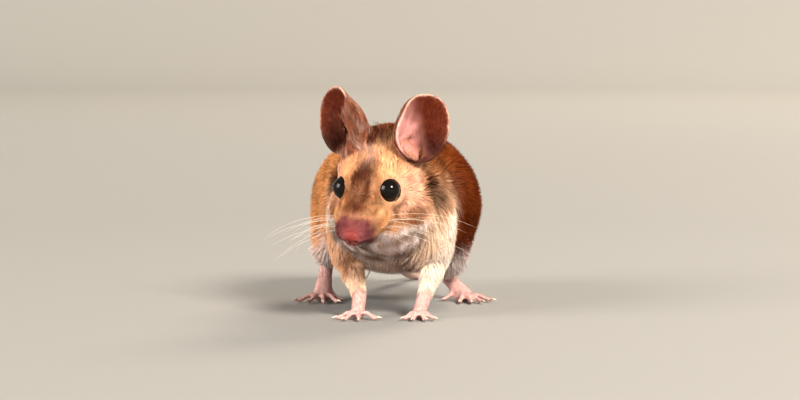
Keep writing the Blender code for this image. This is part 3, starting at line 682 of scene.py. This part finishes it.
# The head: tawny, with pale brows and cheeks, a dark blaze down the bridge, brown streaks below
# each eye and a dark crown between the ears. Lips and chin are greyish white.
head = on_parts("head", "lower_jaw", "nose") > 0
neck = on_parts("neck") > 0
FACE = (  # colour, share, how much it streaks, then where and how wide: out, back and up
    (BROW, 1.1, 0.3, (4.8, 18.0, 6.0), (3.2, 4.4, 3.2)),
    (PEACH, 1.3, 0.3, (9.0, 16.5, 0.2), (3.0, 4.6, 4.4)),
    (CREAM, 0.8, 0.4, (7.4, 12.8, -1.0), (2.4, 2.8, 1.5)),
    (TAWNY, 0.9, 0.4, (6.0, 22.5, 5.8), (2.8, 3.0, 2.6)),
    (UMBER, 1.0, 0.7, (0.0, 9.5, 4.6), (5.0, 6.5, 3.8)),
    (BRIDGE, 1.3, 0.5, (0.0, 13.2, 6.2), (2.5, 3.4, 3.0)),
    (BRIDGE, 1.2, 0.6, (0.0, 8.6, 5.0), (1.7, 4.0, 3.0)),
    (LILAC, 0.7, 0.7, (0.2, 18.5, 7.6), (1.6, 3.0, 2.6)),
    (CROWN, 2.2, 0.4, (0.0, 23.4, 7.2), (2.1, 2.8, 3.0)),
    (PEACH, 1.0, 0.3, (10.0, 13.5, -2.0), (4.0, 4.0, 1.8)),
    (UMBER, 1.0, 0.8, (9.6, 12.2, -2.5), (3.6, 3.4, 0.8)),
    (UMBER, 0.8, 0.9, (6.6, 10.6, -1.2), (2.4, 2.4, 0.7)),
    (UMBER, 2.6, 0.4, (9.8, 12.6, -3.8), (2.4, 2.8, 1.1)),
    (STRAW, 1.1, 0.3, (12.0, 13.5, -8.4), (2.8, 4.5, 2.4)),
)
face = painted(all_over(SAND), (TAWNY, 0.25 + 0.5 * streaks + 0.3 * broad))
for colour, share, streaky, centre, radii in FACE:
    face = painted(face, (colour, share * spot(centre, radii) * (1.0 + streaky * streaks)))
on_snout = fall(local[:, 1] + 0.8 * ragged, 3.8, 6.0) * fall(side, 3.4, 5.0)
lip = -local[:, 2] - 0.45 * np.maximum(local[:, 1] - 9.0, 0.0) - 0.6 * ramp(side, 5.0, 8.0)
lip = lip + 0.35 * ragged
face = painted(
    face,
    # Painted shade: a tawny wash darkens the right cheek.
    (TAWNY, 0.9 * ramp(-local[:, 0], 5.0, 8.0) * fall(local[:, 1], 11.0, 15.0)),
    (SNOUT, on_snout),
    # Mauve on the snout's sides, partly the bare skin's colour and partly painted shade, then painted shade
    # under the snout's lower edge.
    (MAUVE_SHADE, 0.8 * spot((3.8, 3.6, 0.9), (1.5, 2.0, 1.8))),
    (MAUVE_SHADE, spot((2.8, 2.4, -1.0), (2.4, 2.2, 0.9))),
    (WHITE, ramp(lip, 2.3, 3.2) * ramp(local[:, 1], 1.6, 3.0)),
    (GREY, 0.95 * ramp(lip, 2.6, 3.9) * ramp(mottle(places, 1.1, 6), -1.5, 0.3)),
)

# Rows of dark dots on each pad, where the whiskers are rooted.
DOT_ROWS, DOT_COLUMNS, DOT_STEP_BACK, DOT_STEP_DOWN = 4, 5, 1.25, 1.1
FIRST_DOT, DOT_RADII = (4.6, 4.2, 0.9), (1.2, 0.30, 0.28)
for row in range(DOT_ROWS):
    for column in range(DOT_COLUMNS):
        dot = (
            FIRST_DOT[0] - 0.35 * abs(row - 1.5),
            FIRST_DOT[1] + DOT_STEP_BACK * column,
            FIRST_DOT[2] - DOT_STEP_DOWN * row,
        )
        face = painted(face, (DARK, 0.7 * spot(dot, DOT_RADII)))
paint = np.where(head[:, None], face, paint)

# The nape follows the head. Each side of the neck has a dark mark above a pale one.
nape = painted(
    paint,
    (SAND, 0.7 - 0.7 * ramp(local[:, 1], 21.0, 27.0)),
    (TAWNY, 1.1 * spot((4.6, 26.0, 6.4), (3.2, 4.6, 3.0))),
    (CROWN, 1.8 * spot((0.0, 25.0, 7.0), (2.0, 4.4, 3.4))),
)
paint = np.where(neck[:, None], nape, paint)
paint = painted(
    paint,
    (UMBER, 1.6 * spot((10.6, 23.0, -3.6), (2.6, 4.0, 3.4)) * (1.0 + 0.5 * ragged)),
    (DARK, 2.2 * spot((10.6, 21.8, -4.2), (2.1, 2.3, 2.4)) * (1.0 + 0.6 * ragged)),
    (STRAW, 1.2 * spot((13.4, 15.6, -8.8), (3.4, 4.2, 3.4))),
)
paint = blurred(paint, 2)

# Bare skin: nose, lids, feet, tail and ears, and the fur on the ears' inner edges and the ridge.
on_nose = blurred(on_parts("nose"), 8)
in_ridge = (places - np.array(ridge_place / MM)) @ np.array(ridge_axes) / RIDGE_RADII
on_ridge = fall(near(in_ridge, (0, 0, 0)), 1.0, 1.4)
feet, tail = on_parts("forefoot", "hindfoot"), on_parts("tail")
paint = painted(
    paint,
    (NOSE_RED, 1.3 * spot((0.0, 0.9, 1.3), (1.9, 2.2, 1.9))),
    # Painted shade in the nostrils, the groove below the nose and the line of the mouth.
    (DARK, np.maximum(0.8 * nostril, 0.6 * mouth) + 0.3 * groove * on_nose),
    (LID, fall(from_eye, 0.12, 0.24)),
    (UMBER, on_ridge),
    (PAW, blurred(feet, 16)),
)
tail_paint = painted(all_over(TAIL_PALE), (TAIL_BROWN, ramp(normals[:, 2], -0.3, 0.4)))
paint = np.where(tail[:, None] > 0, tail_paint, paint)
ear_paint = painted(all_over(EAR_BACK), (EAR_RED, inside_ear))
paint = np.where(ears[:, None], ear_paint, paint)
ear_shade = np.maximum(ear_deep, 0.8 * fall(ear_tall, 0.05, 0.25))
ear_glow = np.clip(ear_blush * (1.1 + 0.5 * ragged) + 0.5 * fold, 0, 1)
ear_floor = (~ears) * (1.0 - on_ridge) * spot((7.2, 23.9, 4.8), (2.6, 1.9, 2.6))
ear_coat = np.maximum(ear_fur, on_ridge)
# Painted rim light: the thin upper rims of the ears are lighter.
painted_rim_light = 0.8 * ear_rim * ramp(ear_tall, 0.25, 0.55) * (1.0 - 0.6 * np.clip(ear_blush, 0, 1))
paint = painted(
    paint,
    (RUST, 0.35 * inside_ear * ramp(mottle(places, 1.0, 8), -0.3, 1.0)),
    (DARK, 0.8 * inside_ear * ear_shade),
    (EAR_PINK, inside_ear * ear_glow),
    (EAR_PINK, 1.6 * ear_floor),
    (SIENNA, ear_coat),
    (LILAC, 0.7 * ear_coat * ramp(mottle(places, 1.6, 9), 0.2, 0.9)),
    (DARK, 0.3 * ear_coat * ramp(mottle(places, 0.8, 12), 0.1, 0.9)),
    # Painted rim light on the ears' rims, less where fur covers them.
    (EAR_RIM_LIGHT, painted_rim_light * (1.0 - 0.9 * ear_coat)),
)

# The tail's middle line, as x and z along y, gives the length along it, and so its rings.
RING_PITCH, TAIL_STEPS = 0.62, 59
on_tail = np.flatnonzero(tail > 0)
bins = np.linspace(places[on_tail, 1].min(), places[on_tail, 1].max(), TAIL_STEPS + 1)
step = np.clip(np.digitize(places[on_tail, 1], bins) - 1, 0, TAIL_STEPS - 1)
line = np.array([places[on_tail][step == k].mean(axis=0) for k in range(TAIL_STEPS)])
along = np.concatenate([[0.0], np.cumsum(np.linalg.norm(np.diff(line, axis=0), axis=1))])
rings = np.where(tail > 0, np.interp(places[:, 1], line[:, 1], along) / RING_PITCH, 0.0)
tail_heading = unit(np.gradient(line, axis=0))


def store(mesh, name, colours):
    """Keeps a colour for each vertex."""
    layer = mesh.color_attributes.new(name, "FLOAT_COLOR", "POINT")
    filled = np.column_stack([colours, np.ones(len(colours))])
    layer.data.foreach_set("color", filled.astype(np.float32).ravel())


UNDER_COAT = 0.75  # how bright the skin is where fur covers it
is_shown = ears | (feet > 0) | (tail > 0) | (on_nose > 0.5)
store(skin.data, "paint", np.clip(paint * np.where(is_shown, 1.0, UNDER_COAT)[:, None], 0, 1))
store(skin.data, "relief", np.column_stack([rings, tail, on_nose]))


def stored(place, name):
    """The colour that a mesh keeps under this name."""
    return place.node("ShaderNodeVertexColor", {"layer_name": name}, {})


def mixed(share, first, second, blend="MIX"):
    """A colour between two, by a wire that says how much of the second."""
    settings = {"data_type": "RGBA", "blend_type": blend}
    return share.node("ShaderNodeMix", settings, {0: share, 6: first, 7: second}, 2)


skin_paint, place = finish(
    "skin_paint", Specular_IOR_Level=0.12, Subsurface_Weight=0.12,
    Subsurface_Radius=(1.0, 0.35, 0.25), Subsurface_Scale=0.8 * MM,
)
relief = stored(place, "relief")
ring, scaly, wetness = (
    place.node("ShaderNodeSeparateColor", {}, {"Color": relief}, channel) for channel in range(3)
)
grain, blotch = noise(place, 2600.0, 3.0), noise(place, 420.0, 2.0)
creases = ring.math("SINE", ring * math.tau) * scaly
mixed(blotch * 0.3, stored(place, "paint"), (0.72, 0.60, 0.58, 1.0), "MULTIPLY").into("Base Color")
(grain * 0.1 + 0.58 - wetness * 0.2).into("Roughness")
height = grain * 0.5 + blotch * 0.3 + creases * 0.5
bump = place.node("ShaderNodeBump", {}, {"Height": height, "Strength": 0.5, "Distance": 0.06 * MM})
bump.into("Normal")
skin.data.materials.clear()
skin.data.materials.append(skin_paint)
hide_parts(*flesh)
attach(skin, "root")


# ---------------------------------------------------------------------------------------------
# The coat: short dense fur of fine hair, which grows from the muzzle backwards and lies close.
# Each tuft is a thin tapered lock of a few hairs, rooted in the skin, with its tip a coat's depth
# above it. The pieces share the skin's markings.
# ---------------------------------------------------------------------------------------------

LOCK_PATCH = 0.003  # how wide a lock's patch is on its piece's map
LOCK_FLAT, LOCK_ROUND = 0.55, 0.45  # its thickness to its width, and how round it is shaded
FLOOR_GAP = 0.03  # that the lowest hairs keep


def lock_shape(sides, rings):
    """One lock standing on its root: unit section x and y, and z from 0 at its root to 1."""
    bm = bmesh.new()
    bmesh.ops.create_cone(
        bm, cap_ends=True, segments=sides, radius1=1.0, radius2=1.0, depth=1.0,
        matrix=Matrix.Translation((0, 0, 0.5)),
    )
    for k in range(1, rings):
        everything = bm.verts[:] + bm.edges[:] + bm.faces[:]
        bmesh.ops.bisect_plane(bm, geom=everything, plane_co=(0, 0, k / rings), plane_no=(0, 0, 1))
    bmesh.ops.pointmerge(bm, verts=[v for v in bm.verts if v.co.z > 0.999], merge_co=(0, 0, 1))
    bmesh.ops.triangulate(bm, faces=bm.faces)
    shape = np.array([v.co for v in bm.verts]), np.array([[v.index for v in f.verts] for f in bm.faces])
    bm.free()
    return shape


def locks(name, shape, root, bend, tip, across, width, colours, material, spots=None, up=None):
    """Repeats one lock along curves from root over bend to tip, as one joined mesh.

    Each lock has a spot on its piece's map, and `up` is the way its hide faces.
    """
    section, sides = shape
    number = len(root)
    wide, deep, rise = (section[:, axis][None, :, None] for axis in range(3))
    curve = root[:, None] * (1 - rise) ** 2 + bend[:, None] * 2 * rise * (1 - rise) + tip[:, None] * rise**2
    along = unit((bend - root)[:, None] * (1 - rise) + (tip - bend)[:, None] * rise)
    flat = np.repeat(across[:, None], len(section), axis=1)
    thick = np.cross(along, flat)
    taper = (0.75 + 0.9 * rise - 1.45 * rise**2) * width[:, None, None] / 2
    grown = curve + taper * (flat * wide + LOCK_FLAT * thick * deep)
    grown[:, :, 2] = np.maximum(grown[:, :, 2], FLOOR_GAP)
    mesh = bpy.data.meshes.new(name)
    mesh.vertices.add(number * len(section))
    mesh.vertices.foreach_set("co", (grown * MM).astype(np.float32).ravel())
    joined = (sides[None] + np.arange(number)[:, None, None] * len(section)).reshape(-1, 3)
    mesh.loops.add(joined.size)
    mesh.loops.foreach_set("vertex_index", joined.astype(np.int32).ravel())
    mesh.polygons.add(len(joined))
    mesh.polygons.foreach_set("loop_start", np.arange(0, joined.size, 3, dtype=np.int32))
    mesh.update(calc_edges=True)
    mesh.shade_smooth()
    if up is not None:
        # Mostly the hide's own direction shades a lock, so that it blends with its neighbours.
        soft = unit(unit(flat * wide + thick * deep + 1e-6) * LOCK_ROUND + up[:, None])
        mesh.normals_split_custom_set_from_vertices(soft.reshape(-1, 3))
    low, high = colours
    shade = low[:, None] + (high - low)[:, None] * rise ** 0.7
    store(mesh, "paint", np.clip(shade, 0, 1).reshape(-1, 3))
    if spots is not None:
        patch = spots[:, None] + LOCK_PATCH / 2 * np.stack([section[:, 0], section[:, 2] * 2 - 1], axis=1)
        layer = mesh.uv_layers.new(name="OFBake")
        layer.data.foreach_set("uv", patch.reshape(-1, 2)[joined.ravel()].astype(np.float32).ravel())
    mesh.materials.append(material)
    made = placed(name, mesh)
    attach(made, "root")
    return made


LOCK = lock_shape(3, 2)

# A lock's length and width on each part, and the way that the coat lies there.
GROWTH = {"trunk": (6.4, 0.27), "neck": (4.6, 0.20), "head": (3.0, 0.19), "lower_jaw": (1.6, 0.14),
          "nose": (0.5, 0.06), "upper_arm": (4.2, 0.20), "forearm": (2.2, 0.14),
          "thigh": (5.8, 0.26), "shank": (2.4, 0.16), "forefoot": (0.9, 0.08),
          "hindfoot": (0.9, 0.08), "ear": (0.8, 0.06), "tail": (0.8, 0.06)}
FLOW = {"trunk": (0, 1, -0.28), "neck": (0, 1, -0.10), "head": tuple(backward), "nose": tuple(backward),
        "lower_jaw": tuple(backward), "upper_arm": (0, 0.45, -1), "forearm": (0, 0.1, -1),
        "thigh": (0, 0.8, -0.6), "shank": (0, 0.4, -1), "forefoot": (0, -1, -0.4),
        "hindfoot": (0, -1, -0.3), "ear": (0, 0, 1), "tail": (0, 1, 0)}
growth = by_node(GROWTH, 2)
fade = np.where(on_head > 0, 0.20 + 0.80 * ramp(local[:, 1], 2.0, 20.0), 1.0)
growth[:, 0] *= fade
growth[:, 1] *= 0.45 + 0.55 * fade
growth = blurred(growth, 25)
crown = np.exp(-(((local - (0.0, 27.0, 6.4)) / (6.5, 4.5, 3.6)) ** 2).sum(axis=1)) * ~ears
furred_ear = np.maximum(ear_fur, on_ridge * ears)
growth += furred_ear[:, None] * (1.6, 0.045) + crown[:, None] * (1.2, 0.0)
growth[:, 0] *= 0.35 + 0.65 * ramp(from_eye, 0.3, 3.0)
growth[:, 1] *= 0.55 + 0.45 * ramp(from_eye, 0.3, 3.0)
flow = by_node(FLOW, 3)
down_chest = shoulder[:, None]
flow = flow * (1 - down_chest) + np.array((0.0, 0.2, -1.0)) * down_chest
tail_way = np.stack([np.interp(y, line[:, 1], tail_heading[:, k]) for k in range(3)], axis=1)
flow = np.where(tail[:, None] > 0, tail_way, flow)
flow = np.where(on_ridge[:, None] > 0, (-0.1, 0.3, 1.0), flow)
flow = blurred(flow, 20)
for eye in eyes.values():
    off = places - np.array(eye)
    flow += unit(off) * (1.1 * fall(near(places, eye), EYE_RADIUS, EYE_RADIUS + 2.6))[:, None]
flow = unit(flow - normals * (flow * normals).sum(axis=1, keepdims=True))

# How far the tips stand off the skin, and how full the coat is.
stand = np.where(bare, 0.1, np.minimum(cover(places, normals, ~bare), 3.5))
on_back = on_parts("trunk") * ramp(normals[:, 2], 0.4, 0.9)
stand = np.maximum(blurred(stand, 8) - 0.9 * on_back, 0.10) + 0.5 * ear_fur + 1.5 * crown
stand = np.where(on_ridge > 0, np.minimum(stand, 0.5), stand)
full = np.where(on_head > 0, ramp(local[:, 1] + 0.6 * ragged, 1.6, 4.6), 1.0)
full = np.where(ears, 0.35 + 0.65 * np.maximum(1.0 - inside_ear, furred_ear), full)
full = full * fall(ear_floor, 0.25, 0.5) + 1e-4

hide = BVHTree.FromPolygons(places.tolist(), triangles.tolist())
face_area = np.linalg.norm(np.cross(
    places[triangles[:, 1]] - places[triangles[:, 0]], places[triangles[:, 2]] - places[triangles[:, 0]]
), axis=1)
face_middle = places[triangles].mean(axis=1)
face_normal = unit(normals[triangles].sum(axis=1))
face_local = in_head(face_middle)


def faces_on(*names):
    """Which faces of the skin are on the nodes whose names start like these."""
    return on_parts(*names)[triangles[:, 0]] > 0


def unwrapped(chosen):
    """A flat map of these faces of the skin by their own shape, as a place for each corner."""
    used, corner = np.unique(triangles[chosen], return_inverse=True)
    mesh = bpy.data.meshes.new("unwrap")
    mesh.from_pydata(places[used].tolist(), [], corner.reshape(-1, 3).tolist())
    sheet = placed("unwrap", mesh)
    bpy.context.view_layer.objects.active = sheet
    sheet.select_set(True)
    bpy.ops.object.mode_set(mode="EDIT")
    bpy.ops.mesh.select_all(action="SELECT")
    bpy.ops.uv.smart_project(angle_limit=math.radians(66), island_margin=0.004)
    bpy.ops.object.mode_set(mode="OBJECT")
    flat = read(mesh.uv_layers.active.data, "uv", 2, np.float32)
    bpy.data.objects.remove(sheet)
    return flat.reshape(-1, 3, 2)


def fur_paint(name):
    """Soft matt hair: the locks' own colours, a little uneven."""
    made, place = finish(name, Specular_IOR_Level=0.0)
    uneven = noise(place, 900.0, 2.0)
    mixed(uneven * 0.5, stored(place, "paint"), (0.74, 0.70, 0.67, 1.0), "MULTIPLY").into("Base Color")
    (uneven * 0.2 + 0.5).into("Roughness")
    return made


SWING, CLUMP_SWING = 0.20, 0.35  # radians that one lock, and a patch of them, turn from the flow
GUARD_SHADE, PALE_FROM = 0.28, 0.42  # of a dark guard hair, and how light pale fur is
PALE_ROOTS, DARK_ROOTS = (0.78, 0.74, 0.70), 0.58  # the roots' shade to the tips'
EYE_CLEAR = 0.12


def coat(name, wanted, number, seed, material, clump=3.0, flecks=0.0, sink=0.15):
    """Grows a number of locks on the wanted faces of the skin.

    They stand closer where they are thin and where the field `full` is high. The rest says how
    many lean together, what share are dark guard hairs, and how deep the roots sit.
    """
    draw = np.random.default_rng(seed)
    chosen = np.flatnonzero(wanted)
    closeness = 1.0 / growth[triangles[chosen, 0], 1]
    weight = np.cumsum(face_area[chosen] * closeness * full[triangles[chosen, 0]])
    at = (np.arange(number) + draw.uniform(size=number)) / number * weight[-1]
    picked = np.minimum(np.searchsorted(weight, at), len(chosen) - 1)
    face = triangles[chosen[picked]]
    a, b = draw.uniform(size=(2, number))
    over = a + b > 1
    a[over], b[over] = 1 - a[over], 1 - b[over]
    share = np.stack([1 - a - b, a, b], axis=1)[:, :, None]

    def vary(least, most):
        """A number between these for each lock."""
        return draw.uniform(least, most, size=(number, 1))

    def there(values):
        """A field of the skin's vertices, at the locks' feet."""
        return (values.reshape(total, -1)[face] * share).sum(axis=1)

    foot, up, way = there(places), unit(there(normals)), unit(there(flow))
    length, width = (there(growth) * vary(0.75, 1.2)).T
    lift, tint = there(stand)[:, 0], there(paint)
    swing = draw.normal(size=number) * SWING + CLUMP_SWING * mottle(foot, 2.4, seed)
    aside = np.cross(up, way)
    way = way * np.cos(swing)[:, None] + aside * np.sin(swing)[:, None]
    reach = foot + way * (length * 0.94)[:, None]
    landed = [hide.find_nearest(p) for p in reach.tolist()]
    facing = np.array([hit[1] for hit in landed])
    tip = np.array([hit[0] for hit in landed]) + facing * (lift[:, None] * vary(0.7, 1.3))
    # Locks near each other lean together, as hairs do in a clump.
    heads = draw.permutation(number)[: max(1, int(number / clump))]
    tree = KDTree(len(heads))
    for k, index in enumerate(heads):
        tree.insert(foot[index], k)
    tree.balance()
    leader = heads[[tree.find(p)[1] for p in foot.tolist()]]
    tip += (tip[leader] - tip) * vary(0.15, 0.45)
    root = foot - up * sink
    bend = root + (tip - root) * 0.42 + up * (0.45 * lift + 0.06 * length)[:, None]
    # A lock is dropped where it would come out on the far side of a thin ear, or in an eye.
    keep = (facing * up).sum(axis=1) > 0.0
    for eye in eyes.values():
        keep &= near(tip, eye) > EYE_RADIUS + EYE_CLEAR + 0.02
        keep &= near(bend, eye) > EYE_RADIUS + EYE_CLEAR
        keep &= near((tip + bend) / 2, eye) > EYE_RADIUS + EYE_CLEAR
    bright = vary(0.74, 1.10)
    bright = bright * vary(0.82, 1.12)[leader]
    bright = bright * (1.0 + 0.30 * mottle(foot, 0.9, seed + 50))[:, None]
    guard = (draw.uniform(size=number) < flecks)[:, None]
    top = np.where(guard, tint * GUARD_SHADE, tint * bright)
    is_pale = tint.mean(axis=1, keepdims=True) > PALE_FROM
    low = np.where(is_pale, tint * np.array(PALE_ROOTS), tint * DARK_ROOTS)
    spots = (unwrapped(chosen)[picked] * share).sum(axis=1)
    made = locks(name, LOCK, root[keep], bend[keep], tip[keep], unit(np.cross(up, tip - root))[keep],
                 width[keep], (low[keep], top[keep]), material, spots[keep], up[keep])


russet, pale = fur_paint("russet_fur"), fur_paint("pale_fur")
head_faces = faces_on("head", "lower_jaw", "nose") & (face_local[:, 1] > 1.9)
muzzle = head_faces & (face_local[:, 1] < 10.0)
trunk_faces = faces_on("trunk")
belly = trunk_faces & ((face_normal[:, 2] < -0.35) | ((face_middle[:, 1] < -50) & (face_middle[:, 2] < 24)))
back = trunk_faces & ~belly & (face_normal[:, 2] > 0.45)
flank = trunk_faces & ~belly & ~back
haunch = faces_on("thigh", "shank")
arm = faces_on("upper_arm", "forearm")
on_left = face_middle[:, 0] > axis_x / MM
on_feet = faces_on("forefoot", "hindfoot") & (face_normal[:, 2] > 0)
coat("coat_muzzle", muzzle, 18500, 11, russet, clump=2.0, flecks=0.10, sink=0.05)
coat("coat_head", head_faces & ~muzzle, 19500, 12, russet, flecks=0.12)
coat("coat_neck", faces_on("neck"), 18500, 13, russet, flecks=0.2)
coat("coat_back", back, 15500, 14, russet, flecks=0.25)
coat("coat_flank_left", flank & on_left, 12500, 15, russet, flecks=0.15)
coat("coat_flank_right", flank & ~on_left, 12500, 16, russet, flecks=0.15)
coat("coat_belly", belly, 11500, 17, pale, flecks=0.04)
coat("coat_haunch_left", haunch & on_left, 8000, 18, russet, flecks=0.12)
coat("coat_haunch_right", haunch & ~on_left, 8000, 19, russet, flecks=0.12)
coat("coat_arms", arm, 10500, 20, pale, flecks=0.04)
coat("down_ears", faces_on("ear"), 11000, 21, russet, sink=0.02)
coat("down_feet", on_feet, 2500, 22, pale, sink=0.02)
coat("down_tail", faces_on("tail"), 2500, 23, pale, sink=0.02)


# ---------------------------------------------------------------------------------------------
# The eyes: large wet balls, almost black, whose clear front bulges a little. Each sits in the
# skin, which closes on it as a narrow dark lid, and stands well out of the head.
# ---------------------------------------------------------------------------------------------

CORNEA_BULGE = 0.035  # of the radius


def aimed(heading, place):
    """Turns a thing's Z to this heading and sets it in this place."""
    return Matrix.Translation(place) @ heading.to_track_quat("Z", "Y").to_matrix().to_4x4()


eye_paint, place = finish("dark_eye", Roughness=0.05, IOR=1.34, Specular_IOR_Level=0.3)
mixed(noise(place, 500.0, 2.0), (0.002, 0.0015, 0.0015, 1), (0.006, 0.004, 0.003, 1)).into("Base Color")
for name in eyes:
    bm = bmesh.new()
    bmesh.ops.create_uvsphere(bm, u_segments=48, v_segments=32, radius=EYE_RADIUS * MM)
    for v in bm.verts:
        facing = v.co.normalized().z
        v.co *= 1.0 + CORNEA_BULGE * max(0.0, facing) ** 4
    bmesh.ops.transform(bm, matrix=aimed(gaze[name], eyes[name] * MM), verts=bm.verts)
    ball = new_piece(f"eyeball_{name}", bm, eye_paint)
    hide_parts(f"eye_{name}")
    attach(ball, "root")


# ---------------------------------------------------------------------------------------------
# The whiskers: stiff pale hairs in rows on each side of the muzzle. Five long ones a side follow
# the solids' rods, and finer ones grow between them. All are rooted in the skin.
# ---------------------------------------------------------------------------------------------

WHISKER_WIDTH, FINE_WIDTH = 0.11, 0.07
WHISKER_ROOT, FINE_ROOT = 0.9, 0.2  # how deep they are set in the skin
FINE_WHISKERS = {"left": 9, "right": 20}
FINE_SCATTER = ((0.7, 0.7, 0.6), (0.4, 0.4, 0.6), (1.4, 1.4, 1.8))  # of the root, bend and tip
IVORY = (0.74, 0.64, 0.52)


def whisker_route(name):
    """The root, bend and tip of the curve along the middle of a whisker's rod."""
    points = np.array([v.co for v in nodes[name].data.vertices]) / MM
    first = points[np.argmin(near(points, nose_tip))]
    last = points[np.argmax(near(points, first))]
    share = ((points - first) @ (last - first)) / ((last - first) @ (last - first))
    start, slope, curl = np.linalg.lstsq(
        np.column_stack([np.ones(len(share)), share, share**2]), points, rcond=None
    )[0]
    return start, start + slope / 2, start + slope + curl


whisker_paint, place = finish("whisker", Roughness=0.35)
stored(place, "paint").into("Base Color")
draw = np.random.default_rng(31)
rods = sorted(name for name in nodes if name.startswith("whisker_"))
routes, widths = [], []
for side_name in ("left", "right"):
    long_ones = np.array([whisker_route(name) for name in rods if side_name in name])
    for route in long_ones:
        inward = unit(route[0] - route[1])
        routes.append([route[0] + inward * WHISKER_ROOT, route[1], route[2]])
        widths.append(WHISKER_WIDTH)
    for _ in range(FINE_WHISKERS[side_name]):
        shares = draw.dirichlet(np.full(len(long_ones), 0.7))[:, None, None]
        route = (long_ones * shares).sum(axis=0)
        spread = (route - route[0]) * draw.uniform(0.35, 0.9) + draw.normal(size=(3, 3)) * FINE_SCATTER
        hit = hide.find_nearest(route[0] + spread[0])
        root = np.array(hit[0]) - np.array(hit[1]) * FINE_ROOT
        routes.append([root, root + spread[1], root + spread[2]])
        widths.append(FINE_WIDTH)
routes = np.array(routes)
sideways = unit(np.cross(routes[:, 2] - routes[:, 0], (0.1, 0.2, 1)))
ivory = np.tile(IVORY, (len(routes), 1))
whiskers = locks("whiskers", lock_shape(5, 10), *routes.transpose(1, 0, 2), sideways,
                 np.array(widths), (ivory * 0.8, ivory), whisker_paint)
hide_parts(*rods)


# ---------------------------------------------------------------------------------------------
# The claws: short pointed cones of pale horn, four on each forefoot and five on each hind foot.
# Each grows out of the tip of a digit and dips a little to the ground.
# ---------------------------------------------------------------------------------------------

CLAW_LENGTH, CLAW_RADIUS, CLAW_POINT, CLAW_SPACING = 1.25, 0.26, 0.03, 1.3
CLAW_SET_BACK, CLAW_HEIGHT, CLAW_DIP, CLAW_LOWEST = 0.95, 0.80, 0.10, 0.05
DIGITS, DIGIT_TOP, DIGIT_REACH = {"fore": 4, "hind": 5}, 2.2, 3.2  # how high, and from the palm

horn, place = finish("claw_horn", Roughness=0.3, Coat_Weight=0.3)
mixed(noise(place, 1500.0, 2.0), (0.62, 0.44, 0.34, 1), (0.84, 0.72, 0.60, 1)).into("Base Color")
claws = bmesh.new()
for foot in ("forefoot_left", "forefoot_right", "hindfoot_left", "hindfoot_right"):
    points = np.array([v.co for v in nodes[foot].data.vertices]) / MM
    sole = next(m for m in frame["record"]["mounts"] if m["name"] == f"sole_{foot}")
    palm = np.array(sole["pos_m"]) / MM
    low_points = points[points[:, 2] < DIGIT_TOP]
    reach = np.linalg.norm((low_points - palm)[:, :2], axis=1)
    tips = []
    for index in np.argsort(-reach):
        point = low_points[index]
        is_new = all(np.linalg.norm((point - other)[:2]) > CLAW_SPACING for other in tips)
        if is_new and reach[index] > DIGIT_REACH:
            tips.append(point)
    for point in tips[: DIGITS[foot[:4]]]:
        ahead = Vector(unit((point - palm) * (1, 1, 0)))
        start = Vector(point) - ahead * CLAW_SET_BACK
        start.z = CLAW_HEIGHT
        cone = bmesh.ops.create_cone(
            claws, cap_ends=True, segments=10, radius1=CLAW_RADIUS, radius2=CLAW_POINT, depth=CLAW_LENGTH,
            matrix=Matrix.Translation((0, 0, CLAW_LENGTH / 2)),
        )["verts"]
        bmesh.ops.transform(claws, matrix=aimed(ahead - Vector((0, 0, CLAW_DIP)), start), verts=cone)
for v in claws.verts:
    v.co.z = max(v.co.z, CLAW_LOWEST)
bmesh.ops.transform(claws, matrix=Matrix.Scale(MM, 4), verts=claws.verts)
claw_set = new_piece("claws", claws, horn)
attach(claw_set, "root")
